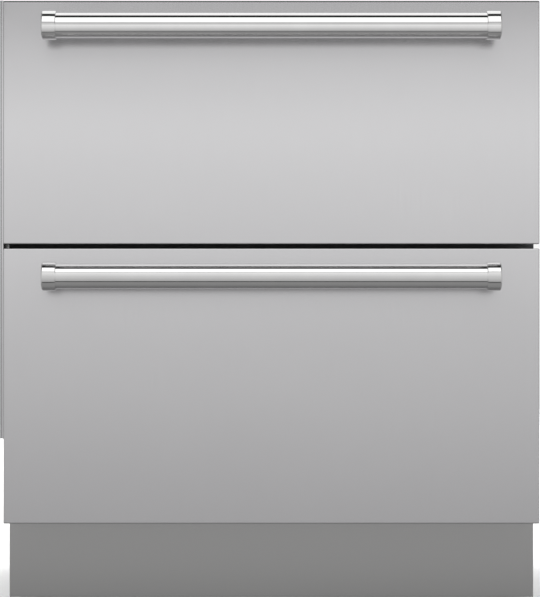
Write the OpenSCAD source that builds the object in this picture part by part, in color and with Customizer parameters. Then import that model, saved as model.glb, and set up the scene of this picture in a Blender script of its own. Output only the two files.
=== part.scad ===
// Under counter fridge with two insulated drawers on telescopic slides.
// Lengths are in millimetres. +Z is up, the drawers open towards -Y, and the
// origin is on the floor at the middle of the width and of the whole depth.
// Each module is written from the plane where the drawer fronts seal (y = 0)
// and is then put in place by placed().

/* [Cabinet] */
// Height from the floor to the top of the cabinet
total_h = 863.6; // [845:0.1:900]
// Width of the cabinet's case
case_w = 755.6; // [740:0.1:800]
// Depth of the case behind the drawer fronts
case_depth = 547; // [540:1:620]
// Thickness of the outer sheet metal
panel_t = 0.8; // [0.6:0.1:1.2]
// Thickness of the sheet that the drawers seal against
frame_t = 1; // [0.8:0.1:1.5]

/* [Insulated box] */
// Height of the underside of the insulated box above the floor
box_base = 205; // [200:1:215]
// Insulated side wall, from outer face to cavity
side_wall = 42.3; // [38:0.1:50]
// Insulated top wall
top_wall = 45.6; // [40:0.1:55]
// Insulated back wall
rear_wall = 47; // [42:0.5:50]
// Insulated floor
floor_wall = 40; // [36:0.5:48]
// Thickness of the moulded liner
liner_t = 1.5; // [1:0.1:2]
// Depth of the crossbar between the two drawers
mullion_d = 40; // [30:1:60]
// Distance from the cavity's back wall to the evaporator cover
duct_d = 60; // [58:1:64]

/* [Drawer fronts] */
// How far a drawer front stands past the case on each side
front_lap = 1.6; // [1.4:0.1:4]
// Thickness of a drawer front without its gasket
front_t = 51; // [45:0.5:60]
// Depth of the folded metal skin
skin_depth = 19; // [14:0.5:24]
// Thickness of the skin's sheet
skin_t = 1; // [0.8:0.1:1.2]
// Outer radius of the skin's folds
skin_r = 1.6; // [1.2:0.1:4]
// Height of the upper drawer front
upper_front_h = 344; // [320:0.5:370]
// Gap between the two drawer fronts
front_gap = 6.4; // [3:0.1:10]
// Height of the lower front's bottom edge above the floor
front_bottom = 122; // [110:0.5:130]
// Distance from the cabinet's top down to the upper front
top_reveal = 1.7; // [0.5:0.1:4]
// Step from the skin's edge in to the inner panel's edge
liner_inset = 2.9; // [2:0.1:5]

/* [Gaskets] */
// Space that the gasket fills between front and cabinet
gasket_t = 12; // [9:0.5:15]
// Width of the gasket
gasket_w = 12; // [10:0.5:14]
// Clearance between the gasket's lip and the cabinet
seal_clear = 0.3; // [0.3:0.1:0.5]

/* [Handles] */
// Diameter of the handle bar
bar_d = 35; // [25:0.5:42]
// How far the handle ends stand out past the bar
end_step = 2.7; // [1.5:0.1:6]
// Width of each handle end along the bar
end_w = 20; // [16:0.5:30]
// Distance from a front's side edge in to the handle's end
handle_inset = 58.9; // [30:0.1:120]
// Distance from the skin to the bar's axis
handle_reach = 44.75; // [40:0.25:60]
// Distance from a front's top edge down to the bar's axis
handle_drop = 39.8; // [30:0.1:60]
// Radius of the handle screws
handle_screw_r = 4; // [3:0.5:5]

/* [Drawers] */
// Gap between the slides' rear ends and the evaporator cover
slide_gap = 9; // [5:1:50]
// Height of a slide
slide_h = 46; // [40:1:52]
// Side space that a slide takes
slide_w = 12.7; // [12.7:0.1:16]
// Height of the slide's middle above the tub's floor
slide_rise = 75; // [50:1:100]
// Wall thickness of the tubs
tub_t = 2.5; // [2:0.1:4]
// Clearance above and below each tub
tub_clear = 12; // [10:0.5:16]
// Thickness of the sliding dividers
divider_t = 4; // [3:0.5:6]

/* [Base] */
// Height of the base pan's underside above the floor
base_z = 20; // [16:0.5:24]
// Thickness of the base pan's sheet
base_t = 1.5; // [1.2:0.1:2]
// How far the kick plate stands behind the seal plane
kick_y = 13; // [5:0.5:20]
// Gap under the kick plate
kick_gap = 9; // [5:0.5:15]
// Diameter of the feet's pads
foot_d = 44; // [36:1:50]
// Radius of the feet's stems
foot_stem_r = 5; // [4:0.5:6]
// Distance from the foot's axis to the side of the case
foot_inset = 45; // [40:1:60]
// Distance from the case's side in to each wall anchor hole
anchor_inset = 77.8; // [70:0.1:150]

/* [Side strip] */
// Width of the strip's front edge
strip_w = 5.2; // [4:0.1:12]
// Gap between the strip and the drawer fronts
strip_gap = 0.8; // [0.5:0.1:3]
// How far the strip's edge stands behind the fronts' face
strip_back = 8; // [2:0.5:20]
// Height of the strip's lower end above the floor
strip_z0 = 242; // [150:1:400]

/* [Controls] */
// Width of the control panel
panel_w = 300; // [280:1:400]
// Height of the control panel
panel_h = 23; // [20:0.5:30]
// Travel of the push buttons
button_travel = 1.2; // [0.8:0.1:2]

/* [Hidden] */
$fn = 64;

UPPER = true;
LOWER = false;
LEFT = -1;
RIGHT = 1;

// The seal plane's place in the finished frame, with the depth centred
end_d = bar_d + 2 * end_step;
handle_out = handle_reach + end_d / 2;
face_y = -front_t - gasket_t;
seal_y = -(handle_out - face_y + case_depth) / 2 + handle_out - face_y;

// Cabinet and cavity
half_case = case_w / 2;
inner_half = half_case - panel_t;
cav_half = half_case - side_wall;
cav_z0 = box_base + floor_wall;
cav_z1 = total_h - top_wall;
cav_back = case_depth - rear_wall;
cover_y = cav_back - duct_d;
lid_z = total_h - panel_t;
underside_z = box_base - panel_t;
back_y = case_depth - panel_t;

// Drawer fronts and the crossbar behind the gap between them
front_half = half_case + front_lap;
liner_half = front_half - liner_inset;
gasket_edge = 1;
gasket_lap = 0.9;
mullion_h = front_gap + 2 * (liner_inset + gasket_edge + gasket_w + gasket_lap);
upper_z0 = total_h - top_reveal - upper_front_h;
mullion_mid = upper_z0 - front_gap / 2;
mullion_z0 = mullion_mid - mullion_h / 2;
mullion_z1 = mullion_mid + mullion_h / 2;
seal_below = 13;
function front_z0(up) = up ? upper_z0 : front_bottom;
function front_z1(up) = up ? total_h - top_reveal : upper_z0 - front_gap;
function open_z0(up) = up ? mullion_z1 : cav_z0;
function open_z1(up) = up ? cav_z1 : mullion_z0;
function gasket_z0(up) = up ? front_z0(up) + liner_inset + gasket_edge
                            : cav_z0 - seal_below - gasket_w;
function gasket_z1(up) = front_z1(up) - liner_inset - gasket_edge;
skin_back = face_y + skin_depth;
liner_back = -gasket_t;
hem_t = skin_t;

// Handles
bar_y = face_y - handle_reach;
bar_wall = 2;
bar_fit = 0.05;
end_socket = 0.6 * end_w;
socket_play = 0.2;
handle_half = front_half - handle_inset;
end_x = handle_half - end_w / 2;
bar_half = handle_half - end_w + end_socket - socket_play;
end_chamfer = 1.2;
post_r = 9;
post_foot_r = 12;
post_foot_t = 3;
bolt_grip = 19;
bolt_plate = 44;
bolt_plate_t = 3;
bolt_head_t = 5.3;
function handle_z(up) = front_z1(up) - handle_drop;

// Tubs and slides
slide_y0 = 6;
slide_len = cover_y - slide_gap - slide_y0;
tub_y0 = 4;
tub_y1 = slide_len;
tub_half = cav_half - slide_w;
tub_rim_w = 8;
tub_rim_t = 3;
divider_home = 0.62;
divider_fit = 0.5;
divider_hook = 8;
web_t = 1.2;
outer_lip = 9;
outer_h = slide_h / 2;
mid_x = cav_half - 4.9;
mid_lip = 5.3;
mid_h = outer_h - 5.8;
inner_lip_x = cav_half - 5.7;
inner_h = outer_h - 10.8;
slide_play = 0.3;
bearing_pitch = 30;
bearing_len = 12;
tab_w = 24;
function tub_z0(up) = open_z0(up) + tub_clear;
function tub_z1(up) = (up ? cav_z1 - panel_h : open_z1(up)) - tub_clear;
function slide_z(up) = tub_z0(up) + slide_rise;

// Base and machine compartment
kick_top = front_bottom + 1;
shelf_z = kick_top + 1;
web_y = kick_y + 17;
base_top = base_z + base_t;
cover_set = 3;
cover_t = 1;
cover_gap = 1.5;
rear_flange_h = 30;
anchor_x = half_case - anchor_inset;
anchor_r = 4.5;
anchor_z = base_z + 18;
foot_x = half_case - foot_inset;
foot_ys = [60, case_depth - 60];
foot_pad_h = 8;
foot_top = base_z + 26;
foot_boss_r = 12;
foot_fit = 0.05;
machine_mid_z = (base_top + underside_z) / 2;
comp_c = [inner_half - 187, case_depth - 147];
comp_r = 68;
comp_feet = [85, 55];
grommet_r = 11;
grommet_h = 14;
comp_z0 = base_top + grommet_h;
comp_clear = 26.7;
comp_h = underside_z - comp_z0 - comp_clear;
cond_w = 170;
cond_x = [-inner_half + 82, -inner_half + 82 + cond_w];
cond_y = [web_y + 20, web_y + 76];
cond_rows = 4;
cond_fins = 12;
tube_past = 6;
cond_z = [base_top + 18, underside_z - 22];
fan_c = [(cond_x[0] + cond_x[1]) / 2, machine_mid_z];
shroud_clear = 15.35;
shroud_r = (underside_z - base_top) / 2 - shroud_clear;
fan_r = shroud_r - 6;
fan_y = cond_y[1] + 22;
shroud_y = cond_y[1] + 8;
drain_y = [shroud_y + 98, shroud_y + 213];
ctrl_x = [-inner_half + 32, -inner_half + 142];
ctrl_y = [case_depth - 110, case_depth - cover_set - cover_t];
ctrl_z = [foot_top + 14, underside_z - 14];
inlet_c = [(ctrl_x[0] + ctrl_x[1]) / 2, base_z + 100];
inlet_size = [48, 30];

// Cold side
evap_x = [-200, 200];
evap_y = [cover_y + 16, cav_back - 12];
evap_tube_y = [cover_y + 25, cover_y + 45];
evap_fan_z = cav_z1 - 128;
evap_fan_r = 52;
evap_z = [cav_z0 + 60, evap_fan_z - 145];
evap_rows = 4;
evap_fins = 11;
light_half = cav_half - 85.5;
light_t = 7;
header_x = evap_x[1] + 15;

// Refrigerant lines
line_r = 4;
cap_r = 3;
pass_r = 6.5;
comp_port_x = comp_c[0] - comp_r - 10;
liquid_x = comp_port_x - 92;
suction_x = comp_port_x - 52;
discharge_x = comp_port_x - 20;
pass_points = [[liquid_x, evap_tube_y[0]], [suction_x, evap_tube_y[1]]];
discharge_port = [comp_port_x, comp_c[1], comp_z0 + comp_h - 54];
suction_port = [comp_port_x, comp_c[1] + 30, comp_z0 + comp_h - 28];
evap_port_z = evap_z[0] - 12;
cond_port_x = cond_x[1] + 14;
cond_tube_y = [cond_y[0] + 16, cond_y[1] - 16];
drier_y = [drain_y[0] + 30, drain_y[1] + 5];

// Controls
panel_y = 16;
panel_d = 54;
panel_z0 = cav_z1 - panel_h;
panel_mid_z = cav_z1 - panel_h / 2;
button_size = [22, 12];
button_proud = 1.5;
button_depth = 5.5;
button_fit = 0.5;
button_pocket = button_depth + button_travel + 0.6;
window_size = [84, 13];
window_t = 1.2;
button_xs = [-125, -75, -25, 125];
window_x = 50;

// Heights of the side strip's screws, one in each third of its length
strip_zs = [for (i = [0.5, 1.5, 2.5]) strip_z0 + i * (total_h - strip_z0) / 3];
strip_flange_y = [5, 30];

// Rear cover of the machine compartment
cover_z = [base_z + rear_flange_h + 1, underside_z - 1];
louvre_zones = [[inlet_c[0] + 80, -20], [20, inner_half - 37]];
louvre_pitch = (cover_z[1] - cover_z[0] - 50.2) / 3;
cover_screw_xs = [-inner_half + 17, 0, inner_half - 17];
cover_screw_zs = [base_z + rear_flange_h + 8, underside_z - 9];

// ---- Shared shapes ----

module placed() {
  translate([0, seal_y, 0]) children();
}

module block(lo, hi) {
  translate(lo) cube(hi - lo);
}

module rod_x(x0, x1, y, z, r) {
  translate([x0, y, z]) rotate([0, 90, 0]) cylinder(r = r, h = x1 - x0);
}

module rod_y(y0, y1, x, z, r) {
  translate([x, y0, z]) rotate([-90, 0, 0]) cylinder(r = r, h = y1 - y0);
}

module rod_z(z0, z1, x, y, r) {
  translate([x, y, z0]) cylinder(r = r, h = z1 - z0);
}

// A pipe along straight runs that are parallel to the axes
module pipe(points, r) {
  for (i = [0 : len(points) - 2]) {
    a = points[i];
    b = points[i + 1];
    lo = [min(a[0], b[0]), min(a[1], b[1]), min(a[2], b[2])];
    hi = [max(a[0], b[0]), max(a[1], b[1]), max(a[2], b[2])];
    if (hi[0] > lo[0]) rod_x(lo[0], hi[0], a[1], a[2], r);
    if (hi[1] > lo[1]) rod_y(lo[1], hi[1], a[0], a[2], r);
    if (hi[2] > lo[2]) rod_z(lo[2], hi[2], a[0], a[1], r);
  }
  for (i = [1 : len(points) - 2]) translate(points[i]) sphere(r = r);
}

// A rectangular ring in the XZ plane
module ring(half, z0, z1, w, y0, y1) {
  difference() {
    block([-half, y0, z0], [half, y1, z1]);
    block([-half + w, y0 - 1, z0 + w], [half - w, y1 + 1, z1 - w]);
  }
}

// A slab whose front edges and four corners are rounded
module pillow(half, z0, z1, y0, y1, r) {
  x = half - r;
  block([-x, y0, z0 + r], [x, y1, z1 - r]);
  block([-half, y0 + r, z0 + r], [half, y1, z1 - r]);
  block([-x, y0 + r, z0], [x, y1, z1]);
  for (z = [z0 + r, z1 - r]) {
    rod_x(-x, x, y0 + r, z, r);
    for (side = [LEFT, RIGHT]) {
      rod_y(y0 + r, y1, side * x, z, r);
      translate([side * x, y0 + r, z]) sphere(r = r);
    }
  }
  for (side = [LEFT, RIGHT]) rod_z(z0 + r, z1 - r, side * x, y0 + r, r);
}

// Slots in a row along X, cut through a sheet that faces Y
module slots_y(x0, x1, count, slot_w, y0, y1, z0, z1) {
  pitch = (x1 - x0) / count;
  for (i = [0 : count - 1]) {
    x = x0 + (i + 0.5) * pitch;
    block([x - slot_w / 2, y0 - 1, z0], [x + slot_w / 2, y1 + 1, z1]);
  }
}

module screw_y(x, y, z, r, head_r, head_t, shank) {
  rod_y(y, y + head_t, x, z, head_r);
  rod_y(y - shank, y, x, z, r);
}

// A finned block with tubes along X, in two columns linked at their ends
module coil(xs, ys, zs, tube_ys, rows, fins, tube_r) {
  step = (zs[1] - zs[0]) / rows;
  pitch = (xs[1] - xs[0]) / (fins - 1);
  ends = [xs[0] - tube_past, xs[1] + tube_past];
  for (i = [0 : fins - 1]) {
    x = xs[0] + i * pitch;
    block([x - 0.5, ys[0], zs[0]], [x + 0.5, ys[1], zs[1]]);
  }
  for (y = tube_ys) for (i = [0 : rows - 1]) {
    z = zs[0] + (i + 0.5) * step;
    rod_x(ends[0], ends[1], y, z, tube_r);
    if (i > 0) {
      x = ends[i % 2];
      rod_z(z - step, z, x, y, tube_r);
      for (corner = [z - step, z]) translate([x, y, corner]) sphere(r = tube_r);
    }
  }
}

// A fan wheel that turns about an axis along Y
module fan_wheel(c, y, r, hub_r, depth, blades) {
  translate([c[0], y, c[1]]) rotate([-90, 0, 0]) {
    difference() {
      union() {
        cylinder(r = hub_r, h = depth);
        intersection() {
          cylinder(r = r, h = depth);
          for (i = [0 : blades - 1]) rotate([0, 0, i * 360 / blades])
            translate([r / 2, 0, depth / 2]) rotate([32, 0, 0])
              cube([r, 0.62 * r, 1.6], center = true);
        }
      }
      translate([0, 0, depth / 3]) cylinder(r = 3.2, h = depth);
    }
  }
}

// ---- Case ----

module side_panel(side) {
  color("gainsboro") placed() {
    x = side > 0 ? inner_half : -half_case;
    kick_back = kick_y + panel_t;
    translate([x, 0, 0]) rotate([90, 0, 90]) linear_extrude(panel_t)
      polygon([
        [frame_t, kick_top + 2], [kick_back, kick_top + 2], [kick_back, base_z],
        [case_depth, base_z], [case_depth, lid_z], [frame_t, lid_z]
      ]);
  }
}
module left_side_panel() { side_panel(LEFT); }
module right_side_panel() { side_panel(RIGHT); }

module top_panel() {
  color("gainsboro") placed()
    block([-half_case, frame_t, lid_z], [half_case, case_depth, total_h]);
}

module rear_panel() {
  color("silver") placed() difference() {
    union() {
      block([-inner_half, back_y, underside_z], [inner_half, case_depth, lid_z]);
      block([-inner_half, frame_t, underside_z], [inner_half, back_y, box_base]);
    }
    for (p = pass_points) rod_z(underside_z - 1, box_base + 1, p[0], p[1], pass_r);
  }
}

module foam_insulation() {
  color("khaki") placed() difference() {
    block([-inner_half, frame_t, box_base], [inner_half, back_y, lid_z]);
    block([-cav_half - liner_t, 0, cav_z0 - liner_t],
          [cav_half + liner_t, cav_back + liner_t, cav_z1 + liner_t]);
    for (p = pass_points) rod_z(box_base - 1, cav_z0, p[0], p[1], pass_r);
  }
}

module inner_liner() {
  color("white") placed() difference() {
    block([-cav_half - liner_t, frame_t, cav_z0 - liner_t],
          [cav_half + liner_t, cav_back + liner_t, cav_z1 + liner_t]);
    block([-cav_half, 0, cav_z0], [cav_half, cav_back, cav_z1]);
    for (p = pass_points) rod_z(cav_z0 - liner_t - 1, cav_z0 + 1, p[0], p[1], pass_r);
  }
}

module front_frame() {
  color("dimgray") placed() {
    difference() {
      block([-half_case, 0, box_base], [half_case, frame_t, total_h]);
      for (up = [UPPER, LOWER])
        block([-cav_half, -1, open_z0(up)], [cav_half, frame_t + 1, open_z1(up)]);
    }
    difference() {
      block([-cav_half, frame_t, mullion_z0], [cav_half, mullion_d, mullion_z1]);
      block([-cav_half + frame_t, frame_t, mullion_z0 + frame_t],
            [cav_half - frame_t, mullion_d - frame_t, mullion_z1 - frame_t]);
    }
  }
}

module base_pan() {
  y1 = case_depth - cover_gap;
  color("silver") placed() difference() {
    union() {
      block([-inner_half, web_y, base_z], [inner_half, y1, base_top]);
      block([-inner_half, y1 - base_t, base_top], [inner_half, y1, base_z + rear_flange_h]);
      block([-inner_half, web_y, base_top], [inner_half, web_y + base_t, shelf_z + base_t]);
      block([-inner_half, 0, shelf_z], [inner_half, web_y, shelf_z + base_t]);
      block([-half_case, 0, shelf_z + base_t], [half_case, frame_t, box_base]);
      for (side = [LEFT, RIGHT])
        block([side > 0 ? inner_half - base_t : -inner_half, web_y + base_t, base_top],
              [side > 0 ? inner_half : -inner_half + base_t, y1 - base_t, base_z + 24]);
      for (x = [-foot_x, foot_x], y = foot_ys) rod_z(base_top, foot_top - 6, x, y, foot_boss_r);
    }
    for (x = [-foot_x, foot_x], y = foot_ys)
      rod_z(base_z - 1, foot_top, x, y, foot_stem_r + foot_fit);
    slots_y(-inner_half + 40, inner_half - 40, 22, 20, 0, frame_t, shelf_z + 22, box_base - 22);
    slots_y(-inner_half + 40, inner_half - 40, 22, 20, web_y, web_y + base_t, base_top + 30, shelf_z - 18);
    for (side = [LEFT, RIGHT])
      rod_y(y1 - base_t - 1, y1 + 1, side * anchor_x, anchor_z, anchor_r);
  }
}

module kick_plate() {
  w = half_case + panel_t;
  y1 = kick_y + panel_t;
  color("silver") placed() {
    block([-w, kick_y, kick_gap], [w, y1, kick_top]);
    block([-half_case, y1, kick_gap], [half_case, y1 + 12, kick_gap + panel_t]);
    block([-inner_half, y1, kick_top - panel_t], [inner_half, web_y, kick_top]);
    for (side = [LEFT, RIGHT])
      block([side > 0 ? half_case : -w, y1, kick_gap], [side > 0 ? w : -half_case, y1 + 28, kick_top]);
  }
}

// Folded strip on the left side, which hides the gap beside the fronts
module side_filler_strip() {
  inner = -front_half - strip_gap;
  outer = inner - strip_w;
  web = inner - 1.5;
  y0 = face_y + strip_back;
  groove_x = outer + 2;
  color("silver") placed() difference() {
    translate([0, 0, strip_z0]) linear_extrude(total_h - strip_z0)
      polygon([
        [outer, y0 + 0.6], [outer + 0.6, y0], [groove_x - 0.6, y0], [groove_x, y0 + 0.6],
        [groove_x, y0 + 1.6], [groove_x + 0.6, y0 + 1.6], [groove_x + 0.6, y0 + 0.3],
        [groove_x + 0.9, y0], [inner, y0], [inner, strip_flange_y[0]],
        [-half_case, strip_flange_y[0]], [-half_case, strip_flange_y[1]],
        [web, strip_flange_y[1]], [web, y0 + 14], [outer, y0 + 14]
      ]);
    for (z = strip_zs)
      rod_x(outer, -half_case + 1, (strip_flange_y[0] + strip_flange_y[1]) / 2, z, 2.3);
  }
}

module machine_rear_cover() {
  y1 = case_depth - cover_set;
  y0 = y1 - cover_t;
  x1 = inner_half - 1;
  z0 = cover_z[0];
  z1 = cover_z[1];
  color("darkgray") placed() difference() {
    union() {
      block([-x1, y0, z0], [x1, y1, z1]);
      block([-x1, y0 - 9, z0], [x1, y0, z0 + cover_t]);
      block([-x1, y0 - 9, z1 - cover_t], [x1, y0, z1]);
    }
    for (zone = louvre_zones, row = [0 : 2])
      slots_y(zone[0], zone[1], round((zone[1] - zone[0]) / 12), 5, y0, y1,
              z0 + 22 + row * louvre_pitch, z0 + 14 + (row + 1) * louvre_pitch);
    block([inlet_c[0] - inlet_size[0] / 2 - 1, y0 - 1, inlet_c[1] - inlet_size[1] / 2 - 1],
          [inlet_c[0] + inlet_size[0] / 2 + 1, y1 + 1, inlet_c[1] + inlet_size[1] / 2 + 1]);
    for (x = cover_screw_xs, z = cover_screw_zs) rod_y(y0 - 1, y1 + 1, x, z, 2.3);
  }
}

module cabinet_screws() {
  web = -front_half - strip_gap - 1.5;
  color("gray") placed() {
    for (x = cover_screw_xs, z = cover_screw_zs)
      screw_y(x, case_depth - cover_set, z, 2, 4, 2, 12);
    for (z = strip_zs) {
      y = (strip_flange_y[0] + strip_flange_y[1]) / 2;
      rod_x(web - 2, web, y, z, 4);
      rod_x(web, -half_case, y, z, 2);
    }
  }
}

// ---- Machine compartment ----

module compressor() {
  z = comp_z0;
  color("dimgray") placed() {
    translate([comp_c[0], comp_c[1], z]) rotate_extrude() polygon([
      [0, 0], [comp_r - 14, 0], [comp_r - 4, 10], [comp_r, 24], [comp_r, comp_h - 72],
      [comp_r + 3, comp_h - 72], [comp_r + 3, comp_h - 66], [comp_r, comp_h - 66],
      [comp_r, comp_h - 38], [comp_r - 6, comp_h - 20], [comp_r - 22, comp_h - 6],
      [comp_r - 40, comp_h], [0, comp_h]
    ]);
    difference() {
      block([comp_c[0] - comp_feet[0] - 14, comp_c[1] - comp_feet[1] - 12, z],
            [comp_c[0] + comp_feet[0] + 14, comp_c[1] + comp_feet[1] + 12, z + 3]);
      for (x = [-1, 1], y = [-1, 1])
        rod_z(z - 1, z + 4, comp_c[0] + x * comp_feet[0], comp_c[1] + y * comp_feet[1], 6);
    }
    block([comp_c[0] + comp_r - 8, comp_c[1] - 26, z + 36],
          [comp_c[0] + comp_r + 24, comp_c[1] + 26, z + comp_h - 46]);
    for (p = [discharge_port, suction_port]) rod_x(p[0], p[0] + 20, p[1], p[2], line_r);
  }
}

module compressor_grommets() {
  color("black") placed() for (x = [-1, 1], y = [-1, 1]) {
    cx = comp_c[0] + x * comp_feet[0];
    cy = comp_c[1] + y * comp_feet[1];
    rod_z(base_top, comp_z0, cx, cy, grommet_r);
    rod_z(comp_z0, comp_z0 + 3, cx, cy, 5.8);
    rod_z(comp_z0 + 3, comp_z0 + 6, cx, cy, grommet_r - 2);
  }
}

module condenser() {
  step = (cond_z[1] - cond_z[0]) / cond_rows;
  ends = [cond_z[0] + step / 2, cond_z[1] - step / 2];
  color("dimgray") placed() {
    coil(cond_x, cond_y, cond_z, cond_tube_y, cond_rows, cond_fins, line_r);
    for (z = ends) rod_x(cond_x[1] + tube_past, cond_port_x, cond_tube_y[0], z, line_r);
    for (x = [cond_x[0] + 30, cond_x[1] - 30])
      block([x - 8, cond_y[0] + 4, base_top], [x + 8, cond_y[1] - 4, cond_z[0]]);
  }
}

module condenser_fan_shroud() {
  x0 = cond_x[0] - 5;
  x1 = cond_x[1] + 5;
  motor_y = fan_y + 26;
  color("darkslategray") placed() {
    difference() {
      union() {
        block([x0, shroud_y, base_top], [x1, shroud_y + 2, underside_z - 4]);
        rod_y(shroud_y, fan_y + 8, fan_c[0], fan_c[1], shroud_r);
      }
      rod_y(shroud_y - 1, fan_y + 10, fan_c[0], fan_c[1], fan_r + 3);
    }
    rod_y(motor_y, motor_y + 34, fan_c[0], fan_c[1], 24);
    rod_y(fan_y + 4, motor_y, fan_c[0], fan_c[1], 3);
    for (a = [-1, 1])
      block([fan_c[0] - 4, motor_y + 8, a > 0 ? fan_c[1] + 20 : fan_c[1] - shroud_r],
            [fan_c[0] + 4, motor_y + 12, a > 0 ? fan_c[1] + shroud_r : fan_c[1] - 20]);
    for (a = [-1, 1])
      block([fan_c[0] - 4, shroud_y + 2, fan_c[1] + a * (shroud_r - 1.5) - 1.5],
            [fan_c[0] + 4, motor_y + 12, fan_c[1] + a * (shroud_r - 1.5) + 1.5]);
  }
}

module condenser_fan_blade() {
  color("black") placed() fan_wheel(fan_c, fan_y - 12, fan_r, 18, 20, 5);
}

module drain_pan() {
  color("black") placed() difference() {
    block([cond_x[0], drain_y[0], base_top], [cond_x[1], drain_y[1], base_top + 28]);
    block([cond_x[0] + 1.5, drain_y[0] + 1.5, base_top + 1.5],
          [cond_x[1] - 1.5, drain_y[1] - 1.5, base_top + 30]);
  }
}

// Closed electrical box with a recessed power inlet through the rear cover
module control_box() {
  y1 = case_depth - cover_set + 1.5;
  w = inlet_size[0] / 2;
  h = inlet_size[1] / 2;
  color("gray") placed() difference() {
    union() {
      block([ctrl_x[0], ctrl_y[0], ctrl_z[0]], [ctrl_x[1], ctrl_y[1] - 10, ctrl_z[1]]);
      block([inlet_c[0] - w, ctrl_y[1] - 10, inlet_c[1] - h], [inlet_c[0] + w, y1, inlet_c[1] + h]);
    }
    block([inlet_c[0] - w + 9, y1 - 16, inlet_c[1] - h + 5],
          [inlet_c[0] + w - 9, y1 + 1, inlet_c[1] + h - 5]);
  }
  color("silver") placed() for (x = [-7, 0, 7])
    block([inlet_c[0] + x - 1, y1 - 16, inlet_c[1] - 2 + (x == 0 ? 3 : -1)],
          [inlet_c[0] + x + 1, y1 - 8, inlet_c[1] + 2 + (x == 0 ? 3 : -1)]);
}

module refrigerant_lines() {
  step = (cond_z[1] - cond_z[0]) / cond_rows;
  hot_z = cond_z[1] - step / 2;
  cool_z = cond_z[0] + step / 2;
  y = cond_tube_y[0];
  color("peru") placed() {
    pipe([discharge_port, [discharge_x, discharge_port[1], discharge_port[2]],
          [discharge_x, y, discharge_port[2]], [discharge_x, y, hot_z],
          [cond_port_x, y, hot_z]], line_r);
    pipe([[cond_port_x, y, cool_z], [liquid_x, y, cool_z], [liquid_x, drier_y[0], cool_z]], line_r);
    rod_y(drier_y[0], drier_y[1], liquid_x, cool_z, 12);
    pipe([[liquid_x, drier_y[1], cool_z], [liquid_x, evap_tube_y[0], cool_z],
          [liquid_x, evap_tube_y[0], evap_port_z - 20], [header_x, evap_tube_y[0], evap_port_z - 20],
          [header_x, evap_tube_y[0], evap_port_z]], cap_r);
    pipe([suction_port, [suction_x, suction_port[1], suction_port[2]],
          [suction_x, evap_tube_y[1], suction_port[2]], [suction_x, evap_tube_y[1], evap_port_z - 20],
          [header_x, evap_tube_y[1], evap_port_z - 20], [header_x, evap_tube_y[1], evap_port_z]], line_r);
  }
}

// ---- Cold side ----

module evaporator() {
  step = (evap_z[1] - evap_z[0]) / evap_rows;
  z = evap_z[0] + step / 2;
  color("lightgray") placed() {
    coil(evap_x, evap_y, evap_z, evap_tube_y, evap_rows, evap_fins, line_r);
    for (y = evap_tube_y) {
      rod_x(evap_x[1] + tube_past, header_x, y, z, line_r);
      translate([header_x, y, z]) sphere(r = line_r);
      rod_z(evap_port_z, z, header_x, y, line_r);
    }
    for (x = evap_x) block([x - 1, evap_y[1], evap_z[0] + 20], [x + 1, cav_back, evap_z[1] - 20]);
  }
}

module evaporator_fan_motor() {
  y = cover_y + 20;
  color("dimgray") placed() {
    rod_y(y, y + 26, 0, evap_fan_z, 20);
    block([-36, y + 26, evap_fan_z - 12], [36, y + 29, evap_fan_z + 12]);
    for (side = [LEFT, RIGHT]) rod_y(y + 29, cav_back, side * 28, evap_fan_z, 4);
    rod_y(y - 6, y, 0, evap_fan_z, 3);
  }
}

module evaporator_fan_blade() {
  color("white") placed() fan_wheel([0, evap_fan_z], cover_y + 4, evap_fan_r, 14, 12, 5);
}

module evaporator_cover() {
  x1 = cav_half - 0.5;
  y1 = cover_y;
  y0 = y1 - 2;
  color("white") placed() {
    difference() {
      block([-x1, y0, cav_z0 + 0.5], [x1, y1, cav_z1 - 0.5]);
      rod_y(y0 - 1, y1 + 1, 0, evap_fan_z, evap_fan_r + 4);
      slots_y(evap_x[0], evap_x[1], 25, 8, y0, y1, cav_z0 + 14, cav_z0 + 40);
      slots_y(evap_x[0], evap_x[1], 25, 8, y0, y1, cav_z1 - 40, cav_z1 - 14);
    }
    for (r = [16 : 12 : evap_fan_r]) difference() {
      rod_y(y0, y1, 0, evap_fan_z, r + 1.5);
      rod_y(y0 - 1, y1 + 1, 0, evap_fan_z, r - 1.5);
    }
    for (a = [0 : 45 : 135]) translate([0, (y0 + y1) / 2, evap_fan_z]) rotate([0, a, 0])
      cube([2 * evap_fan_r + 8.2, y1 - y0, 2.4], center = true);
  }
}

module light_bars() {
  color("aliceblue") placed() {
    block([-light_half, 90, cav_z1 - light_t], [light_half, 108, cav_z1]);
    block([-light_half, 14, mullion_z0 - light_t + 1], [light_half, 28, mullion_z0]);
  }
}

// ---- Controls ----

module button_block(i, grow, y0, y1) {
  w = button_size[0] / 2 + grow;
  h = button_size[1] / 2 + grow;
  block([button_xs[i] - w, y0, panel_mid_z - h], [button_xs[i] + w, y1, panel_mid_z + h]);
}

module control_panel() {
  w = window_size[0] / 2;
  h = window_size[1] / 2;
  color("dimgray") placed() difference() {
    block([-panel_w / 2, panel_y, panel_z0], [panel_w / 2, panel_y + panel_d, cav_z1]);
    for (i = [0 : 3]) button_block(i, button_fit, panel_y - 1, panel_y + button_pocket);
    block([window_x - w, panel_y - 1, panel_mid_z - h], [window_x + w, panel_y + window_t, panel_mid_z + h]);
  }
}

module display_window() {
  w = window_size[0] / 2;
  h = window_size[1] / 2;
  color("black") placed()
    block([window_x - w, panel_y, panel_mid_z - h], [window_x + w, panel_y + window_t, panel_mid_z + h]);
}

module push_button(i) {
  y0 = panel_y - button_proud;
  color("silver") placed() button_block(i, 0, y0, y0 + button_depth);
}
module power_button() { push_button(0); }
module cooler_button() { push_button(1); }
module warmer_button() { push_button(2); }
module light_button() { push_button(3); }

// ---- Feet ----

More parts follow.
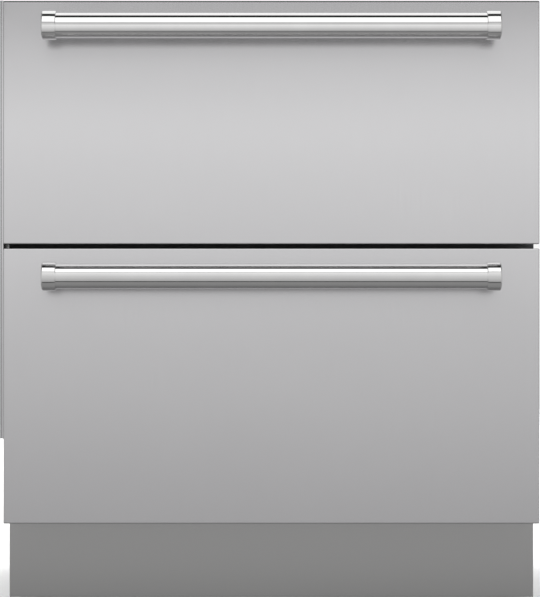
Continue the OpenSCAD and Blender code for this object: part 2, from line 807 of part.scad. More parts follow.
module foot(side, row) {
  color("dimgray") placed() translate([side * foot_x, foot_ys[row], 0]) {
    cylinder(d1 = foot_d, d2 = foot_d - 6, h = foot_pad_h);
    cylinder(r = foot_stem_r, h = foot_top);
    translate([0, 0, foot_pad_h]) cylinder(r = 9, h = 5, $fn = 6);
  }
}
module foot_front_left() { foot(LEFT, 0); }
module foot_front_right() { foot(RIGHT, 0); }
module foot_rear_left() { foot(LEFT, 1); }
module foot_rear_right() { foot(RIGHT, 1); }

// ---- Drawer fronts ----

module front_skin(up) {
  z0 = front_z0(up);
  z1 = front_z1(up);
  color("silver") placed() difference() {
    pillow(front_half, z0, z1, face_y, skin_back, skin_r);
    pillow(front_half - skin_t, z0 + skin_t, z1 - skin_t, face_y + skin_t, skin_back - hem_t,
           skin_r - skin_t);
    block([-liner_half + liner_t, skin_back - hem_t - 1, z0 + liner_inset + liner_t],
          [liner_half - liner_t, skin_back + 1, z1 - liner_inset - liner_t]);
    for (side = [LEFT, RIGHT])
      rod_y(face_y - 1, face_y + skin_t + 1, side * end_x, handle_z(up), handle_screw_r + 0.3);
  }
}

module front_core(up) {
  z0 = front_z0(up);
  z1 = front_z1(up);
  y0 = face_y + skin_t;
  color("khaki") placed() difference() {
    union() {
      pillow(front_half - skin_t, z0 + skin_t, z1 - skin_t, y0, skin_back - hem_t, skin_r - skin_t);
      block([-liner_half + liner_t, skin_back - hem_t, z0 + liner_inset + liner_t],
            [liner_half - liner_t, liner_back - liner_t, z1 - liner_inset - liner_t]);
    }
    for (side = [LEFT, RIGHT]) {
      x = side * end_x;
      h = bolt_plate / 2;
      block([x - h, y0 - 1, handle_z(up) - h], [x + h, y0 + bolt_plate_t, handle_z(up) + h]);
      rod_y(y0, y0 + bolt_plate_t + bolt_head_t + 2, x, handle_z(up), 2 * handle_screw_r + 1);
    }
  }
}

module front_liner(up) {
  z0 = front_z0(up) + liner_inset;
  z1 = front_z1(up) - liner_inset;
  color("whitesmoke") placed() difference() {
    block([-liner_half, skin_back, z0], [liner_half, liner_back, z1]);
    block([-liner_half + liner_t, skin_back - 1, z0 + liner_t],
          [liner_half - liner_t, liner_back - liner_t, z1 - liner_t]);
  }
}

// Bellows gasket: a base, a narrow neck and a sealing lip
module gasket(up) {
  half = liner_half - gasket_edge;
  neck = gasket_w / 4;
  z0 = gasket_z0(up);
  z1 = gasket_z1(up);
  y1 = -seal_clear;
  color("dimgray") placed() {
    ring(half, z0, z1, gasket_w, liner_back, liner_back + 3);
    ring(half - neck, z0 + neck, z1 - neck, gasket_w - 2 * neck, liner_back + 3, y1 - 4);
    ring(half, z0, z1, gasket_w, y1 - 4, y1);
  }
}

// ---- Handles ----

module handle_bar(up) {
  color("lightgray") placed() difference() {
    rod_x(-bar_half, bar_half, bar_y, handle_z(up), bar_d / 2);
    rod_x(-bar_half - 1, bar_half + 1, bar_y, handle_z(up), bar_d / 2 - bar_wall);
  }
}

module handle_end(up, side) {
  r = end_d / 2;
  c = end_chamfer;
  h = end_w / 2;
  color("lightgray") placed() translate([side * end_x, 0, handle_z(up)]) difference() {
    union() {
      translate([0, bar_y, 0]) rotate([0, 90, 0]) rotate_extrude() polygon([
        [0, -h], [r - c, -h], [r, -h + c], [r, h - c], [r - c, h], [0, h]
      ]);
      rod_y(bar_y, face_y - post_foot_t, 0, 0, post_r);
      rod_y(face_y - post_foot_t, face_y, 0, 0, post_foot_r);
    }
    rod_x(side > 0 ? -h - 1 : h - end_socket, side > 0 ? -h + end_socket : h + 1,
          bar_y, 0, bar_d / 2 + bar_fit);
    rod_y(face_y - bolt_grip - 2, face_y + 1, 0, 0, handle_screw_r + bar_fit);
  }
}

// Screws with backing plates, foamed in behind the skin
module handle_screws(up) {
  y0 = face_y + skin_t;
  h = bolt_plate / 2;
  color("gray") placed() for (side = [LEFT, RIGHT]) translate([side * end_x, 0, handle_z(up)]) {
    block([-h, y0, -h], [h, y0 + bolt_plate_t, h]);
    rod_y(face_y - bolt_grip, y0, 0, 0, handle_screw_r);
    translate([0, y0 + bolt_plate_t, 0]) rotate([-90, 0, 0])
      cylinder(r = 1.9 * handle_screw_r, h = bolt_head_t, $fn = 6);
  }
}

// ---- Drawer bodies ----

module tub(up) {
  z0 = tub_z0(up);
  z1 = tub_z1(up);
  rim = tub_half + tub_rim_w;
  color("white") placed() difference() {
    union() {
      block([-tub_half, tub_y0, z0], [tub_half, tub_y1, z1]);
      block([-rim, tub_y0, z1 - tub_rim_t], [rim, tub_y1, z1]);
    }
    block([-tub_half + tub_t, tub_y0 + tub_t, z0 + tub_t], [tub_half - tub_t, tub_y1 - tub_t, z1 + 1]);
  }
}

// Cross divider that hangs on the tub's rims and slides along them
module divider(up) {
  y = tub_y0 + divider_home * (tub_y1 - tub_y0);
  z0 = tub_z0(up) + tub_t + 4;
  z1 = tub_z1(up);
  in = tub_half - tub_t - 1;
  hook = tub_half + tub_rim_w + divider_fit;
  color("lightgray") placed() {
    block([-in, y, z0], [in, y + divider_t, z1 + divider_fit]);
    for (side = [LEFT, RIGHT]) {
      block([side > 0 ? 0 : -hook - 2, y - divider_hook, z1 + divider_fit],
            [side > 0 ? hook + 2 : 0, y + divider_t + divider_hook, z1 + divider_fit + 2]);
      block([side > 0 ? hook : -hook - 2, y - divider_hook, z1 - 6],
            [side > 0 ? hook + 2 : -hook, y + divider_t + divider_hook, z1 + divider_fit]);
    }
  }
}

// One channel of a slide, open towards open_side, mirrored to the drawer's left
module channel(x0, x1, half_h, flange_x, y0, y1) {
  block([x0, y0, -half_h], [x1, y1, half_h]);
  for (s = [-1, 1])
    block([min(x0, flange_x), y0, s > 0 ? half_h - web_t : -half_h],
          [max(x1, flange_x), y1, s > 0 ? half_h : -half_h + web_t]);
}

module slide_outers() {
  color("silver") placed() for (up = [UPPER, LOWER], side = [0, 1])
    mirror([side, 0, 0]) translate([0, 0, slide_z(up)])
      channel(cav_half - web_t, cav_half, outer_h, cav_half - outer_lip, slide_y0, slide_y0 + slide_len);
}

module slide_mids(up) {
  race = [mid_x - 3.4, mid_x - 0.6];
  color("gainsboro") placed() for (side = [0, 1])
    mirror([side, 0, 0]) translate([0, 0, slide_z(up)]) {
      channel(mid_x, mid_x + web_t, mid_h, mid_x - mid_lip, slide_y0, slide_y0 + slide_len);
      for (s = [-1, 1], y = [slide_y0 + 8 : bearing_pitch : slide_y0 + slide_len - 20]) {
        block([race[0], y, s > 0 ? mid_h : -outer_h + web_t + slide_play],
              [race[1], y + bearing_len, s > 0 ? outer_h - web_t - slide_play : -mid_h]);
        block([race[0], y, s > 0 ? inner_h + slide_play : -mid_h + web_t],
              [race[1], y + bearing_len, s > 0 ? mid_h - web_t : -inner_h - slide_play]);
      }
    }
}

module slide_inners(up) {
  x = tub_half;
  color("silver") placed() for (side = [0, 1])
    mirror([side, 0, 0]) translate([0, 0, slide_z(up)]) {
      channel(x, x + web_t, inner_h, inner_lip_x, slide_y0, slide_y0 + slide_len);
      block([x, liner_back, -inner_h], [x + web_t, slide_y0, inner_h]);
      block([x - tab_w, liner_back, -inner_h], [x, liner_back + web_t, inner_h]);
    }
}

// ---- Drawn parts ----

module upper_front_skin() { front_skin(UPPER); }
module upper_front_core() { front_core(UPPER); }
module upper_front_liner() { front_liner(UPPER); }
module upper_gasket() { gasket(UPPER); }
module upper_handle_bar() { handle_bar(UPPER); }
module upper_handle_end_left() { handle_end(UPPER, LEFT); }
module upper_handle_end_right() { handle_end(UPPER, RIGHT); }
module upper_handle_screws() { handle_screws(UPPER); }
module upper_tub() { tub(UPPER); }
module upper_slide_inners() { slide_inners(UPPER); }
module upper_slide_mids() { slide_mids(UPPER); }
module upper_divider() { divider(UPPER); }
module lower_front_skin() { front_skin(LOWER); }
module lower_front_core() { front_core(LOWER); }
module lower_front_liner() { front_liner(LOWER); }
module lower_gasket() { gasket(LOWER); }
module lower_handle_bar() { handle_bar(LOWER); }
module lower_handle_end_left() { handle_end(LOWER, LEFT); }
module lower_handle_end_right() { handle_end(LOWER, RIGHT); }
module lower_handle_screws() { handle_screws(LOWER); }
module lower_tub() { tub(LOWER); }
module lower_slide_inners() { slide_inners(LOWER); }
module lower_slide_mids() { slide_mids(LOWER); }
module lower_divider() { divider(LOWER); }

left_side_panel();
right_side_panel();
top_panel();
rear_panel();
foam_insulation();
inner_liner();
front_frame();
base_pan();
kick_plate();
side_filler_strip();
machine_rear_cover();
cabinet_screws();
compressor();
compressor_grommets();
condenser();
condenser_fan_shroud();
drain_pan();
control_box();
refrigerant_lines();
evaporator();
evaporator_fan_motor();
evaporator_cover();
light_bars();
control_panel();
display_window();
slide_outers();
condenser_fan_blade();
evaporator_fan_blade();
power_button();
warmer_button();
cooler_button();
light_button();
foot_front_left();
foot_front_right();
foot_rear_left();
foot_rear_right();
upper_front_skin();
upper_front_core();
upper_front_liner();
upper_gasket();
upper_handle_bar();
upper_handle_end_left();
upper_handle_end_right();
upper_handle_screws();
upper_tub();
upper_slide_inners();
upper_slide_mids();
upper_divider();
lower_front_skin();
lower_front_core();
lower_front_liner();
lower_gasket();
lower_handle_bar();
lower_handle_end_left();
lower_handle_end_right();
lower_handle_screws();
lower_tub();
lower_slide_inners();
lower_slide_mids();
lower_divider();
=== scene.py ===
import math

import bmesh
import bpy
from bpy.props import FloatProperty, FloatVectorProperty, IntProperty, PointerProperty
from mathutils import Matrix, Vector


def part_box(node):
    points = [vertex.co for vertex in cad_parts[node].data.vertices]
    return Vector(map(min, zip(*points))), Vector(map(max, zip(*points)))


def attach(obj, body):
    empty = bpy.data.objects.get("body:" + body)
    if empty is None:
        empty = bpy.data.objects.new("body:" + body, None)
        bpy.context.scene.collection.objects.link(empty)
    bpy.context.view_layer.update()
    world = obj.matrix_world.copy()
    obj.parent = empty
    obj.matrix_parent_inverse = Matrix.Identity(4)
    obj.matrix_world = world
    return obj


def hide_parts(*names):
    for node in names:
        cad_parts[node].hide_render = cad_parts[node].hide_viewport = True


bl_info = {
    "name": "Under counter fridge",
    "version": (1, 0, 0),
    "blender": (4, 5, 0),
    "location": "View3D > Sidebar > Fridge",
    "description": "Builds the looks of a two-drawer under counter fridge around its packed frame",
    "category": "Add Mesh",
}

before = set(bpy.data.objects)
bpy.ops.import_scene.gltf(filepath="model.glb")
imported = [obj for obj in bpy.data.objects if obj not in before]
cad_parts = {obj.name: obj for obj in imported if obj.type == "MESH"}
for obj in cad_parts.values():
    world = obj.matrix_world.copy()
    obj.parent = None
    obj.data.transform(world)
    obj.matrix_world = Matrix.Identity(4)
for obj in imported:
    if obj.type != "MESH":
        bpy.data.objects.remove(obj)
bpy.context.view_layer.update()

MM = 0.001
DRAWERS = ("upper", "lower")
SIDES = {"left": -1, "right": 1}


# ---------------------------------------------------------------- shader writing


class Signal:
    """A number at one output of a shader; arithmetic on it adds Math nodes."""

    def __init__(self, graph, socket):
        self.graph = graph
        self.socket = socket

    def _math(self, operation, first, second=None):
        sockets = {0: first} if second is None else {0: first, 1: second}
        return self.graph.add("ShaderNodeMath", {"operation": operation}, sockets)

    def __add__(self, other):
        return self._math("ADD", self, other)

    def __radd__(self, other):
        return self._math("ADD", other, self)

    def __sub__(self, other):
        return self._math("SUBTRACT", self, other)

    def __rsub__(self, other):
        return self._math("SUBTRACT", other, self)

    def __mul__(self, other):
        return self._math("MULTIPLY", self, other)

    def __rmul__(self, other):
        return self._math("MULTIPLY", other, self)

    def __truediv__(self, other):
        return self._math("DIVIDE", self, other)

    def absolute(self):
        return self._math("ABSOLUTE", self)

    def step(self, low, high):
        """0 below low, 1 above high and smooth between them."""
        sockets = {"Value": self, "From Min": low, "From Max": high}
        return self.graph.add("ShaderNodeMapRange", {"interpolation_type": "SMOOTHSTEP"}, sockets)


class Graph:
    """A node tree that is written with add() and ends in surface()."""

    def __init__(self, owner):
        owner.use_nodes = True
        self.owner = owner
        self.tree = owner.node_tree
        self.tree.nodes.clear()

    def add(self, kind, settings=None, sockets=None, out=0):
        """Adds a node: its settings first, then its sockets' values or links."""
        node = self.tree.nodes.new(kind)
        for key, value in (settings or {}).items():
            if key == "stops":
                self._stops(node.color_ramp, value)
            else:
                setattr(node, key, value)
        for key, value in (sockets or {}).items():
            if isinstance(value, Signal):
                self.tree.links.new(value.socket, node.inputs[key])
            else:
                node.inputs[key].default_value = value
        return Signal(self, node.outputs[out]) if node.outputs else None

    def _stops(self, ramp, stops):
        while len(ramp.elements) < len(stops):
            ramp.elements.new(1.0)
        for element, (place, colour) in zip(ramp.elements, stops):
            element.position = place
            element.color = rgba(colour)

    def place(self, scale=(1, 1, 1)):
        """The point on the piece in metres, multiplied by scale."""
        point = self.add("ShaderNodeTexCoord", out="Object")
        return self.add("ShaderNodeVectorMath", {"operation": "MULTIPLY"}, {0: point, 1: scale})

    def noise(self, scale, detail=2.0, roughness=0.5, size=(1, 1, 1)):
        sockets = {"Vector": self.place(size), "Scale": scale, "Detail": detail, "Roughness": roughness}
        return self.add("ShaderNodeTexNoise", None, sockets)

    def cells(self, scale, size=(1, 1, 1), feature="F1", out="Distance"):
        sockets = {"Vector": self.place(size), "Scale": scale}
        return self.add("ShaderNodeTexVoronoi", {"feature": feature}, sockets, out)

    def mix(self, factor, first, second):
        """A colour between first and second."""
        sockets = {0: factor, 6: as_colour(first), 7: as_colour(second)}
        return self.add("ShaderNodeMix", {"data_type": "RGBA"}, sockets, 2)

    def bump(self, height, distance, strength=1.0):
        sockets = {"Height": height, "Distance": distance, "Strength": strength}
        return self.add("ShaderNodeBump", None, sockets)

    def surface(self, **sockets):
        """The Principled shader, with socket names written with underscores."""
        named = {key.replace("_", " "): value for key, value in sockets.items()}
        named.update({key: as_colour(value) for key, value in named.items() if key.endswith("Color")})
        shader = self.add("ShaderNodeBsdfPrincipled", None, named)
        self.add("ShaderNodeOutputMaterial", None, {"Surface": shader})
        return self.owner


def rgba(colour):
    return (*colour[:3], 1.0) if len(colour) == 3 else tuple(colour)


def as_colour(value):
    """A colour gets its alpha; a signal or a number stays as it is."""
    if isinstance(value, Signal) or not hasattr(value, "__len__"):
        return value
    return rgba(tuple(value))


def tone(colour, factor):
    return tuple(min(1.0, c * factor) for c in colour[:3])


# ---------------------------------------------------------------- finishes


def brushed(name, colour, grain=(1, 1, 0.02), rough=0.25, contrast=0.02, depth=0.0000012, top=None):
    """Brushed stainless: fine short lines along one axis, and painted shade, a near-black band on the fold
    just below the height top.
    """
    g = Graph(bpy.data.materials.new(name))
    lines = g.noise(1900.0, 2.0, 0.6, grain)
    strokes = g.noise(650.0, 3.0, 0.65, grain)
    cloud = g.noise(9.0, 4.0, 0.6)
    mask = lines * 0.4 + strokes * 0.35 + cloud * 0.25
    base = g.mix(mask.step(0.25, 0.75), tone(colour, 1 - contrast), tone(colour, 1 + contrast))
    # painted shade: the fold just under the height top is turned near-black, standing in for the shade along
    # the front's top edge
    if top is not None:
        height = g.add("ShaderNodeSeparateXYZ", None, {0: g.place()}, 2)
        base = g.mix(height.step(top - 0.002, top - 0.0013), base, tone(colour, 0.05))
    roughness = rough + (lines - 0.5) * 0.05 + (cloud - 0.5) * 0.03
    normal = g.bump(lines, depth)
    return g.surface(Base_Color=base, Metallic=1.0, Roughness=roughness, Normal=normal)


def polished(name, colour, rough=0.055):
    """Polished steel tube: a mirror with faint turning lines and handling marks."""
    g = Graph(bpy.data.materials.new(name))
    turning = g.noise(900.0, 2.0, 0.5, (1, 0.02, 0.02))
    smear = g.noise(28.0, 4.0, 0.6)
    base = g.mix(smear.step(0.35, 0.75), tone(colour, 0.985), tone(colour, 1.015))
    roughness = rough + turning * 0.02 + smear.step(0.55, 0.8) * 0.035
    normal = g.bump(turning, 0.0000006)
    return g.surface(Base_Color=base, Metallic=1.0, Roughness=roughness, Normal=normal)


def painted(name, colour, rough=0.42, peel=0.00003, metallic=0.0, coat=0.0):
    """Sprayed paint: orange peel, a slow drift of tone and a little dust."""
    g = Graph(bpy.data.materials.new(name))
    skin = g.noise(700.0, 2.0, 0.5)
    drift = g.noise(4.0, 3.0, 0.6)
    dust = g.noise(160.0, 5.0, 0.7)
    shade = g.mix(drift, tone(colour, 0.93), tone(colour, 1.06))
    base = g.mix(dust.step(0.62, 0.85) * 0.25, shade, tone(colour, 1.3))
    roughness = rough + (skin - 0.5) * 0.06 + dust.step(0.55, 0.8) * 0.12
    normal = g.bump(skin, peel)
    return g.surface(Base_Color=base, Metallic=metallic, Roughness=roughness, Normal=normal, Coat_Weight=coat)


def galvanised(name, colour):
    """Zinc-coated sheet with its crystal spangle."""
    g = Graph(bpy.data.materials.new(name))
    spangle = g.cells(75.0, out="Color")
    grey = g.add("ShaderNodeRGBToBW", None, {0: spangle})
    streak = g.noise(30.0, 3.0, 0.6, (1, 1, 0.15))
    mask = grey * 0.6 + streak * 0.4
    base = g.mix(mask, tone(colour, 0.82), tone(colour, 1.12))
    roughness = 0.3 + grey * 0.18 + streak * 0.06
    normal = g.bump(grey, 0.000008)
    return g.surface(Base_Color=base, Metallic=1.0, Roughness=roughness, Normal=normal)


def plain_metal(name, colour, rough=0.35, grain=180.0):
    """Zinc-plated or cast metal with a fine mottled skin."""
    g = Graph(bpy.data.materials.new(name))
    mottle = g.noise(grain, 4.0, 0.6)
    wear = g.noise(40.0, 3.0, 0.7)
    base = g.mix(mottle, tone(colour, 0.85), tone(colour, 1.12))
    roughness = rough + (mottle - 0.5) * 0.14 + wear.step(0.5, 0.8) * 0.1
    normal = g.bump(mottle, 0.00001)
    return g.surface(Base_Color=base, Metallic=1.0, Roughness=roughness, Normal=normal)


def moulded(name, colour, rough=0.45, texture=0.00002, grain=1500.0, **extra):
    """Moulded plastic with a fine spark-eroded texture and faint flow marks."""
    g = Graph(bpy.data.materials.new(name))
    fine = g.noise(grain, 2.0, 0.6)
    flow = g.noise(9.0, 3.0, 0.5, (1, 1, 0.4))
    base = g.mix(flow, tone(colour, 0.96), tone(colour, 1.03))
    roughness = rough + (fine - 0.5) * 0.12 + (flow - 0.5) * 0.06
    normal = g.bump(fine, texture)
    return g.surface(Base_Color=base, Roughness=roughness, Normal=normal, **extra)


def rubber(name, colour):
    """Soft vinyl or rubber with a dull bloom."""
    g = Graph(bpy.data.materials.new(name))
    bloom = g.noise(35.0, 4.0, 0.65)
    fine = g.noise(900.0, 2.0, 0.5)
    base = g.mix(bloom.step(0.35, 0.75), tone(colour, 0.85), tone(colour, 1.35))
    roughness = 0.62 + (fine - 0.5) * 0.12 + (bloom - 0.5) * 0.1
    normal = g.bump(fine, 0.000015)
    return g.surface(Base_Color=base, Roughness=roughness, Normal=normal)


def copper(name, colour):
    """Drawn copper tube with brown oxide patches."""
    g = Graph(bpy.data.materials.new(name))
    oxide = g.noise(60.0, 5.0, 0.7)
    base = g.mix(oxide.step(0.45, 0.75), colour, tone(colour, 0.45))
    roughness = 0.25 + oxide.step(0.4, 0.8) * 0.3
    normal = g.bump(oxide, 0.00002)
    return g.surface(Base_Color=base, Metallic=1.0, Roughness=roughness, Normal=normal)


def foam(name, colour):
    """Rigid foam with small open cells."""
    g = Graph(bpy.data.materials.new(name))
    cell = g.cells(900.0)
    blotch = g.noise(25.0, 3.0, 0.6)
    base = g.mix(blotch, tone(colour, 0.8), tone(colour, 1.08))
    roughness = 0.85 + (blotch - 0.5) * 0.1
    normal = g.bump(cell, 0.0002)
    return g.surface(Base_Color=base, Roughness=roughness, Normal=normal)


def lit_diffuser(name, colour, strength):
    """Frosted light cover, brighter over each lamp behind it."""
    g = Graph(bpy.data.materials.new(name))
    lamps = g.cells(60.0, (1, 0.05, 0.05))
    fine = g.noise(1200.0, 2.0, 0.5)
    glow = 1.0 - lamps.step(0.0, 0.75) * 0.45
    base = g.mix(fine, tone(colour, 0.97), colour)
    light = g.mix(glow, (0, 0, 0), colour)
    roughness = 0.4 + (fine - 0.5) * 0.1
    return g.surface(Base_Color=base, Roughness=roughness, Emission_Color=light, Emission_Strength=strength)


def glowing(name, colour, strength):
    """A lit symbol with a slightly uneven glow."""
    g = Graph(bpy.data.materials.new(name))
    uneven = g.noise(500.0, 2.0, 0.5)
    light = g.mix(uneven, tone(colour, 0.85), colour)
    return g.surface(
        Base_Color=tone(colour, 0.3), Roughness=0.4, Emission_Color=light, Emission_Strength=strength
    )


def make_finishes(look):
    """All materials by name, from the colours of the panel's settings."""
    steel = tuple(look.steel)
    upright = (1, 1, 0.02)
    sideways = (0.02, 1, 1)
    # height of the upper front's top edge; the fold under it gets painted shade
    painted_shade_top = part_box("upper_front_skin")[1].z
    return {
        "front_stainless": brushed("front_stainless", steel, upright, look.steel_roughness, top=painted_shade_top),
        # painted shade: the kick plate is the fronts' steel made darker to stand in for the shade under the
        # fronts
        "kick_stainless": brushed("kick_stainless", tuple(look.kick_painted_shade), upright, look.steel_roughness),
        "strip_stainless": brushed("strip_stainless", steel, upright, look.steel_roughness),
        "polished_handle": polished("polished_handle", tuple(look.chrome)),
        "polished_handle_end": polished("polished_handle_end", tone(look.chrome, 0.98), 0.07),
        "case_sheet": painted("case_sheet", tuple(look.case), 0.38, 0.00002, 0.35),
        "galvanised": galvanised("galvanised_sheet", (0.62, 0.64, 0.66)),
        "dark_paint": painted("dark_paint", (0.045, 0.046, 0.05), 0.45, 0.00005),
        "compressor_paint": painted("compressor_paint", (0.02, 0.02, 0.022), 0.28, 0.00006, 0.0, 0.4),
        "screw_zinc": plain_metal("screw_zinc", (0.62, 0.62, 0.6), 0.3),
        "slide_zinc": plain_metal("slide_zinc", (0.66, 0.68, 0.7), 0.3, 90.0),
        "foot_zinc": plain_metal("foot_zinc", (0.5, 0.5, 0.5), 0.38),
        "fin_aluminium": plain_metal("fin_aluminium", (0.8, 0.81, 0.82), 0.3),
        "button_metal": brushed("button_metal", (0.6, 0.6, 0.61), sideways, 0.3),
        "copper": copper("copper_tube", (0.85, 0.43, 0.27)),
        "foam": foam("insulation_foam", (0.86, 0.77, 0.5)),
        "liner_white": moulded("liner_white", tuple(look.liner), 0.4, 0.00002, 1100.0),
        "tub_white": moulded(
            "tub_white", tuple(look.tub), 0.36, 0.00001, 1500.0,
            Subsurface_Weight=0.12, Subsurface_Radius=(0.01, 0.01, 0.01), Subsurface_Scale=0.4,
        ),
        "divider_grey": moulded("divider_grey", (0.55, 0.58, 0.6), 0.32, 0.00001),
        "grey_plastic": moulded("grey_plastic", (0.17, 0.175, 0.18), 0.5, 0.00003),
        "black_plastic": moulded("black_plastic", (0.02, 0.02, 0.021), 0.5, 0.00003),
        "gasket_vinyl": rubber("gasket_vinyl", tuple(look.gasket)),
        "black_rubber": rubber("black_rubber", (0.02, 0.02, 0.02)),
        "display_glass": moulded(
            "display_glass", (0.006, 0.006, 0.008), 0.08, 0.000001, 400.0, Coat_Weight=0.5,
        ),
        "light_cover": lit_diffuser("light_cover", (0.95, 0.97, 1.0), look.lamp_strength),
        "symbol_glow": glowing("symbol_glow", (0.55, 0.8, 1.0), 2.2),
    }


# ---------------------------------------------------------------- mesh making


def rounded_outline(half_a, half_b, radius, steps=6):
    """Points round a rectangle with round corners, anticlockwise from its lower right."""
    radius = max(min(radius, half_a, half_b), 0.00002)
    points = []
    for quarter, (sa, sb) in enumerate(((1, -1), (1, 1), (-1, 1), (-1, -1))):
        for i in range(steps + 1):
            angle = math.radians(-90 + 90 * quarter + 90 * i / steps)
            a = sa * (half_a - radius) + radius * math.cos(angle)
            b = sb * (half_b - radius) + radius * math.sin(angle)
            points.append((a, b))
    return points


def loft(bm, rings, close=False, cap_first=False, cap_last=False):
    """Faces between rings of equal length; close joins the last ring to the first."""
    rows = [[bm.verts.new(p) for p in ring] for ring in rings]
    count = len(rows[0])
    pairs = list(zip(rows, rows[1:])) + ([(rows[-1], rows[0])] if close else [])
    for low, high in pairs:
        for i in range(count):
            j = (i + 1) % count
            bm.faces.new((low[i], low[j], high[j], high[i]))
    if cap_first:
        bm.faces.new(list(reversed(rows[0])))
    if cap_last:
        bm.faces.new(rows[-1])


def lathe(bm, profile, axis, centre, segments=96, close=False):
    """Turns (along, radius) points about an axis through centre; the ends are capped unless it closes."""
    along = Vector(axis).normalized()
    side = along.orthogonal().normalized()
    up = along.cross(side)
    centre = Vector(centre)
    rings = []
    for distance, radius in profile:
        ring = []
        for i in range(segments):
            angle = math.tau * i / segments
            out = side * math.cos(angle) + up * math.sin(angle)
            ring.append(centre + along * distance + out * max(radius, 0.000001))
        rings.append(ring)
    loft(bm, rings, close=close, cap_first=not close, cap_last=not close)


def rounded_bar(bm, low, high, radius, steps=3):
    """A box with rounded upright edges and softened ends, between two corners."""
    low, high = Vector(low), Vector(high)
    centre = (low + high) / 2
    half = (high - low) / 2
    insets = [(radius * (1 - math.sin(t)), radius * (1 - math.cos(t)))
              for t in (math.radians(90 * i / steps) for i in range(steps + 1))]
    levels = [(low.z + drop, inset) for inset, drop in insets]
    levels += [(high.z - drop, inset) for inset, drop in reversed(insets)]
    rings = []
    for z, inset in levels:
        outline = rounded_outline(half.x - inset, half.y - inset, max(radius - inset, 0.0001), steps)
        rings.append([(centre.x + a, centre.y + b, z) for a, b in outline])
    loft(bm, rings, cap_first=True, cap_last=True)


def tidy_mesh(bm, name):
    bmesh.ops.remove_doubles(bm, verts=bm.verts, dist=0.0000005)
    bmesh.ops.dissolve_degenerate(bm, edges=bm.edges, dist=0.0000005)
    bmesh.ops.recalc_face_normals(bm, faces=bm.faces)
    mesh = bpy.data.meshes.new(name)
    bm.to_mesh(mesh)
    bm.free()
    return mesh


def piece(name, bm, body, material, replaces=(), sharp=38.0):
    """Makes an object that rides on a body, with smooth faces and sharp folds."""
    mesh = tidy_mesh(bm, name)
    mesh.shade_smooth()
    mesh.set_sharp_from_angle(angle=math.radians(sharp))
    mesh.materials.append(material)
    made = bpy.data.objects.new(name, mesh)
    bpy.context.scene.collection.objects.link(made)
    if replaces:
        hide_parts(*replaces)
    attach(made, body)
    return made


def arc(start, end, steps):
    """Angles in radians from start to end degrees."""
    return [math.radians(start + (end - start) * i / steps) for i in range(steps + 1)]


# ---------------------------------------------------------------- settings


class FridgeLook(bpy.types.PropertyGroup):
    steel: FloatVectorProperty(
        name="Steel", description="Colour of the brushed drawer fronts",
        subtype="COLOR", size=3, min=0, max=1, default=(0.625, 0.62, 0.63))
    # painted shade: the kick plate's steel is made darker than the fronts' to stand in for the shade under
    # the fronts' overhang
    kick_painted_shade: FloatVectorProperty(
        name="Kick plate", description="Colour of the brushed kick plate",
        subtype="COLOR", size=3, min=0, max=1, default=(0.48, 0.477, 0.475))
    steel_roughness: FloatProperty(
        name="Steel roughness", description="How much the brushed steel blurs what it reflects",
        default=0.25, min=0.1, max=0.7, subtype="FACTOR")
    chrome: FloatVectorProperty(
        name="Handles", description="Colour of the polished handles",
        subtype="COLOR", size=3, min=0, max=1, default=(0.74, 0.737, 0.735))
    case: FloatVectorProperty(
        name="Case", description="Colour of the painted side and top panels",
        subtype="COLOR", size=3, min=0, max=1, default=(0.4, 0.405, 0.41))
    liner: FloatVectorProperty(
        name="Liner", description="Colour of the moulded liner",
        subtype="COLOR", size=3, min=0, max=1, default=(0.8, 0.81, 0.81))
    tub: FloatVectorProperty(
        name="Tubs", description="Colour of the drawers' tubs",
        subtype="COLOR", size=3, min=0, max=1, default=(0.78, 0.8, 0.81))
    gasket: FloatVectorProperty(
        name="Gaskets", description="Colour of the door seals",
        subtype="COLOR", size=3, min=0, max=1, default=(0.05, 0.05, 0.052))
    lamp_strength: FloatProperty(
        name="Lamps", description="Brightness of the light bars inside", default=1.6, min=0, max=20)


class FridgeSizes(bpy.types.PropertyGroup):
    skin_thickness: FloatProperty(
        name="Skin", description="Thickness of the drawer front's sheet", default=0.001, unit="LENGTH")
    skin_fold: FloatProperty(
        name="Fold radius", description="Outer radius of the front's folds", default=0.0016, unit="LENGTH")
    skin_corner: FloatProperty(
        name="Corner radius", description="Radius of the front's corners", default=0.0016, unit="LENGTH")
    hem: FloatProperty(
        name="Hem", description="Width of the hem behind the front", default=0.0044, unit="LENGTH")
    panel_recess: FloatProperty(
        name="Recess", description="Depth of the recess in the inner panel", default=0.004, unit="LENGTH")
    tube_wall: FloatProperty(
        name="Bar wall", description="Wall thickness of the handle bar", default=0.002, unit="LENGTH")
    end_chamfer: FloatProperty(
        name="End chamfer", description="Chamfer at the handle end's outer edge",
        default=0.0013, unit="LENGTH")
    tub_wall: FloatProperty(
        name="Tub wall", description="Wall thickness of the tubs", default=0.0025, unit="LENGTH")
    tub_corner: FloatProperty(
        name="Tub corner", description="Radius of the tubs' upright corners", default=0.0105, unit="LENGTH")
    fold_bevel: FloatProperty(
        name="Sheet edges", description="Rounding of the sheet metal's edges", default=0.0004, unit="LENGTH")
    round_steps: IntProperty(
        name="Round steps", description="Segments round the handle bars", default=144, min=24, max=256)


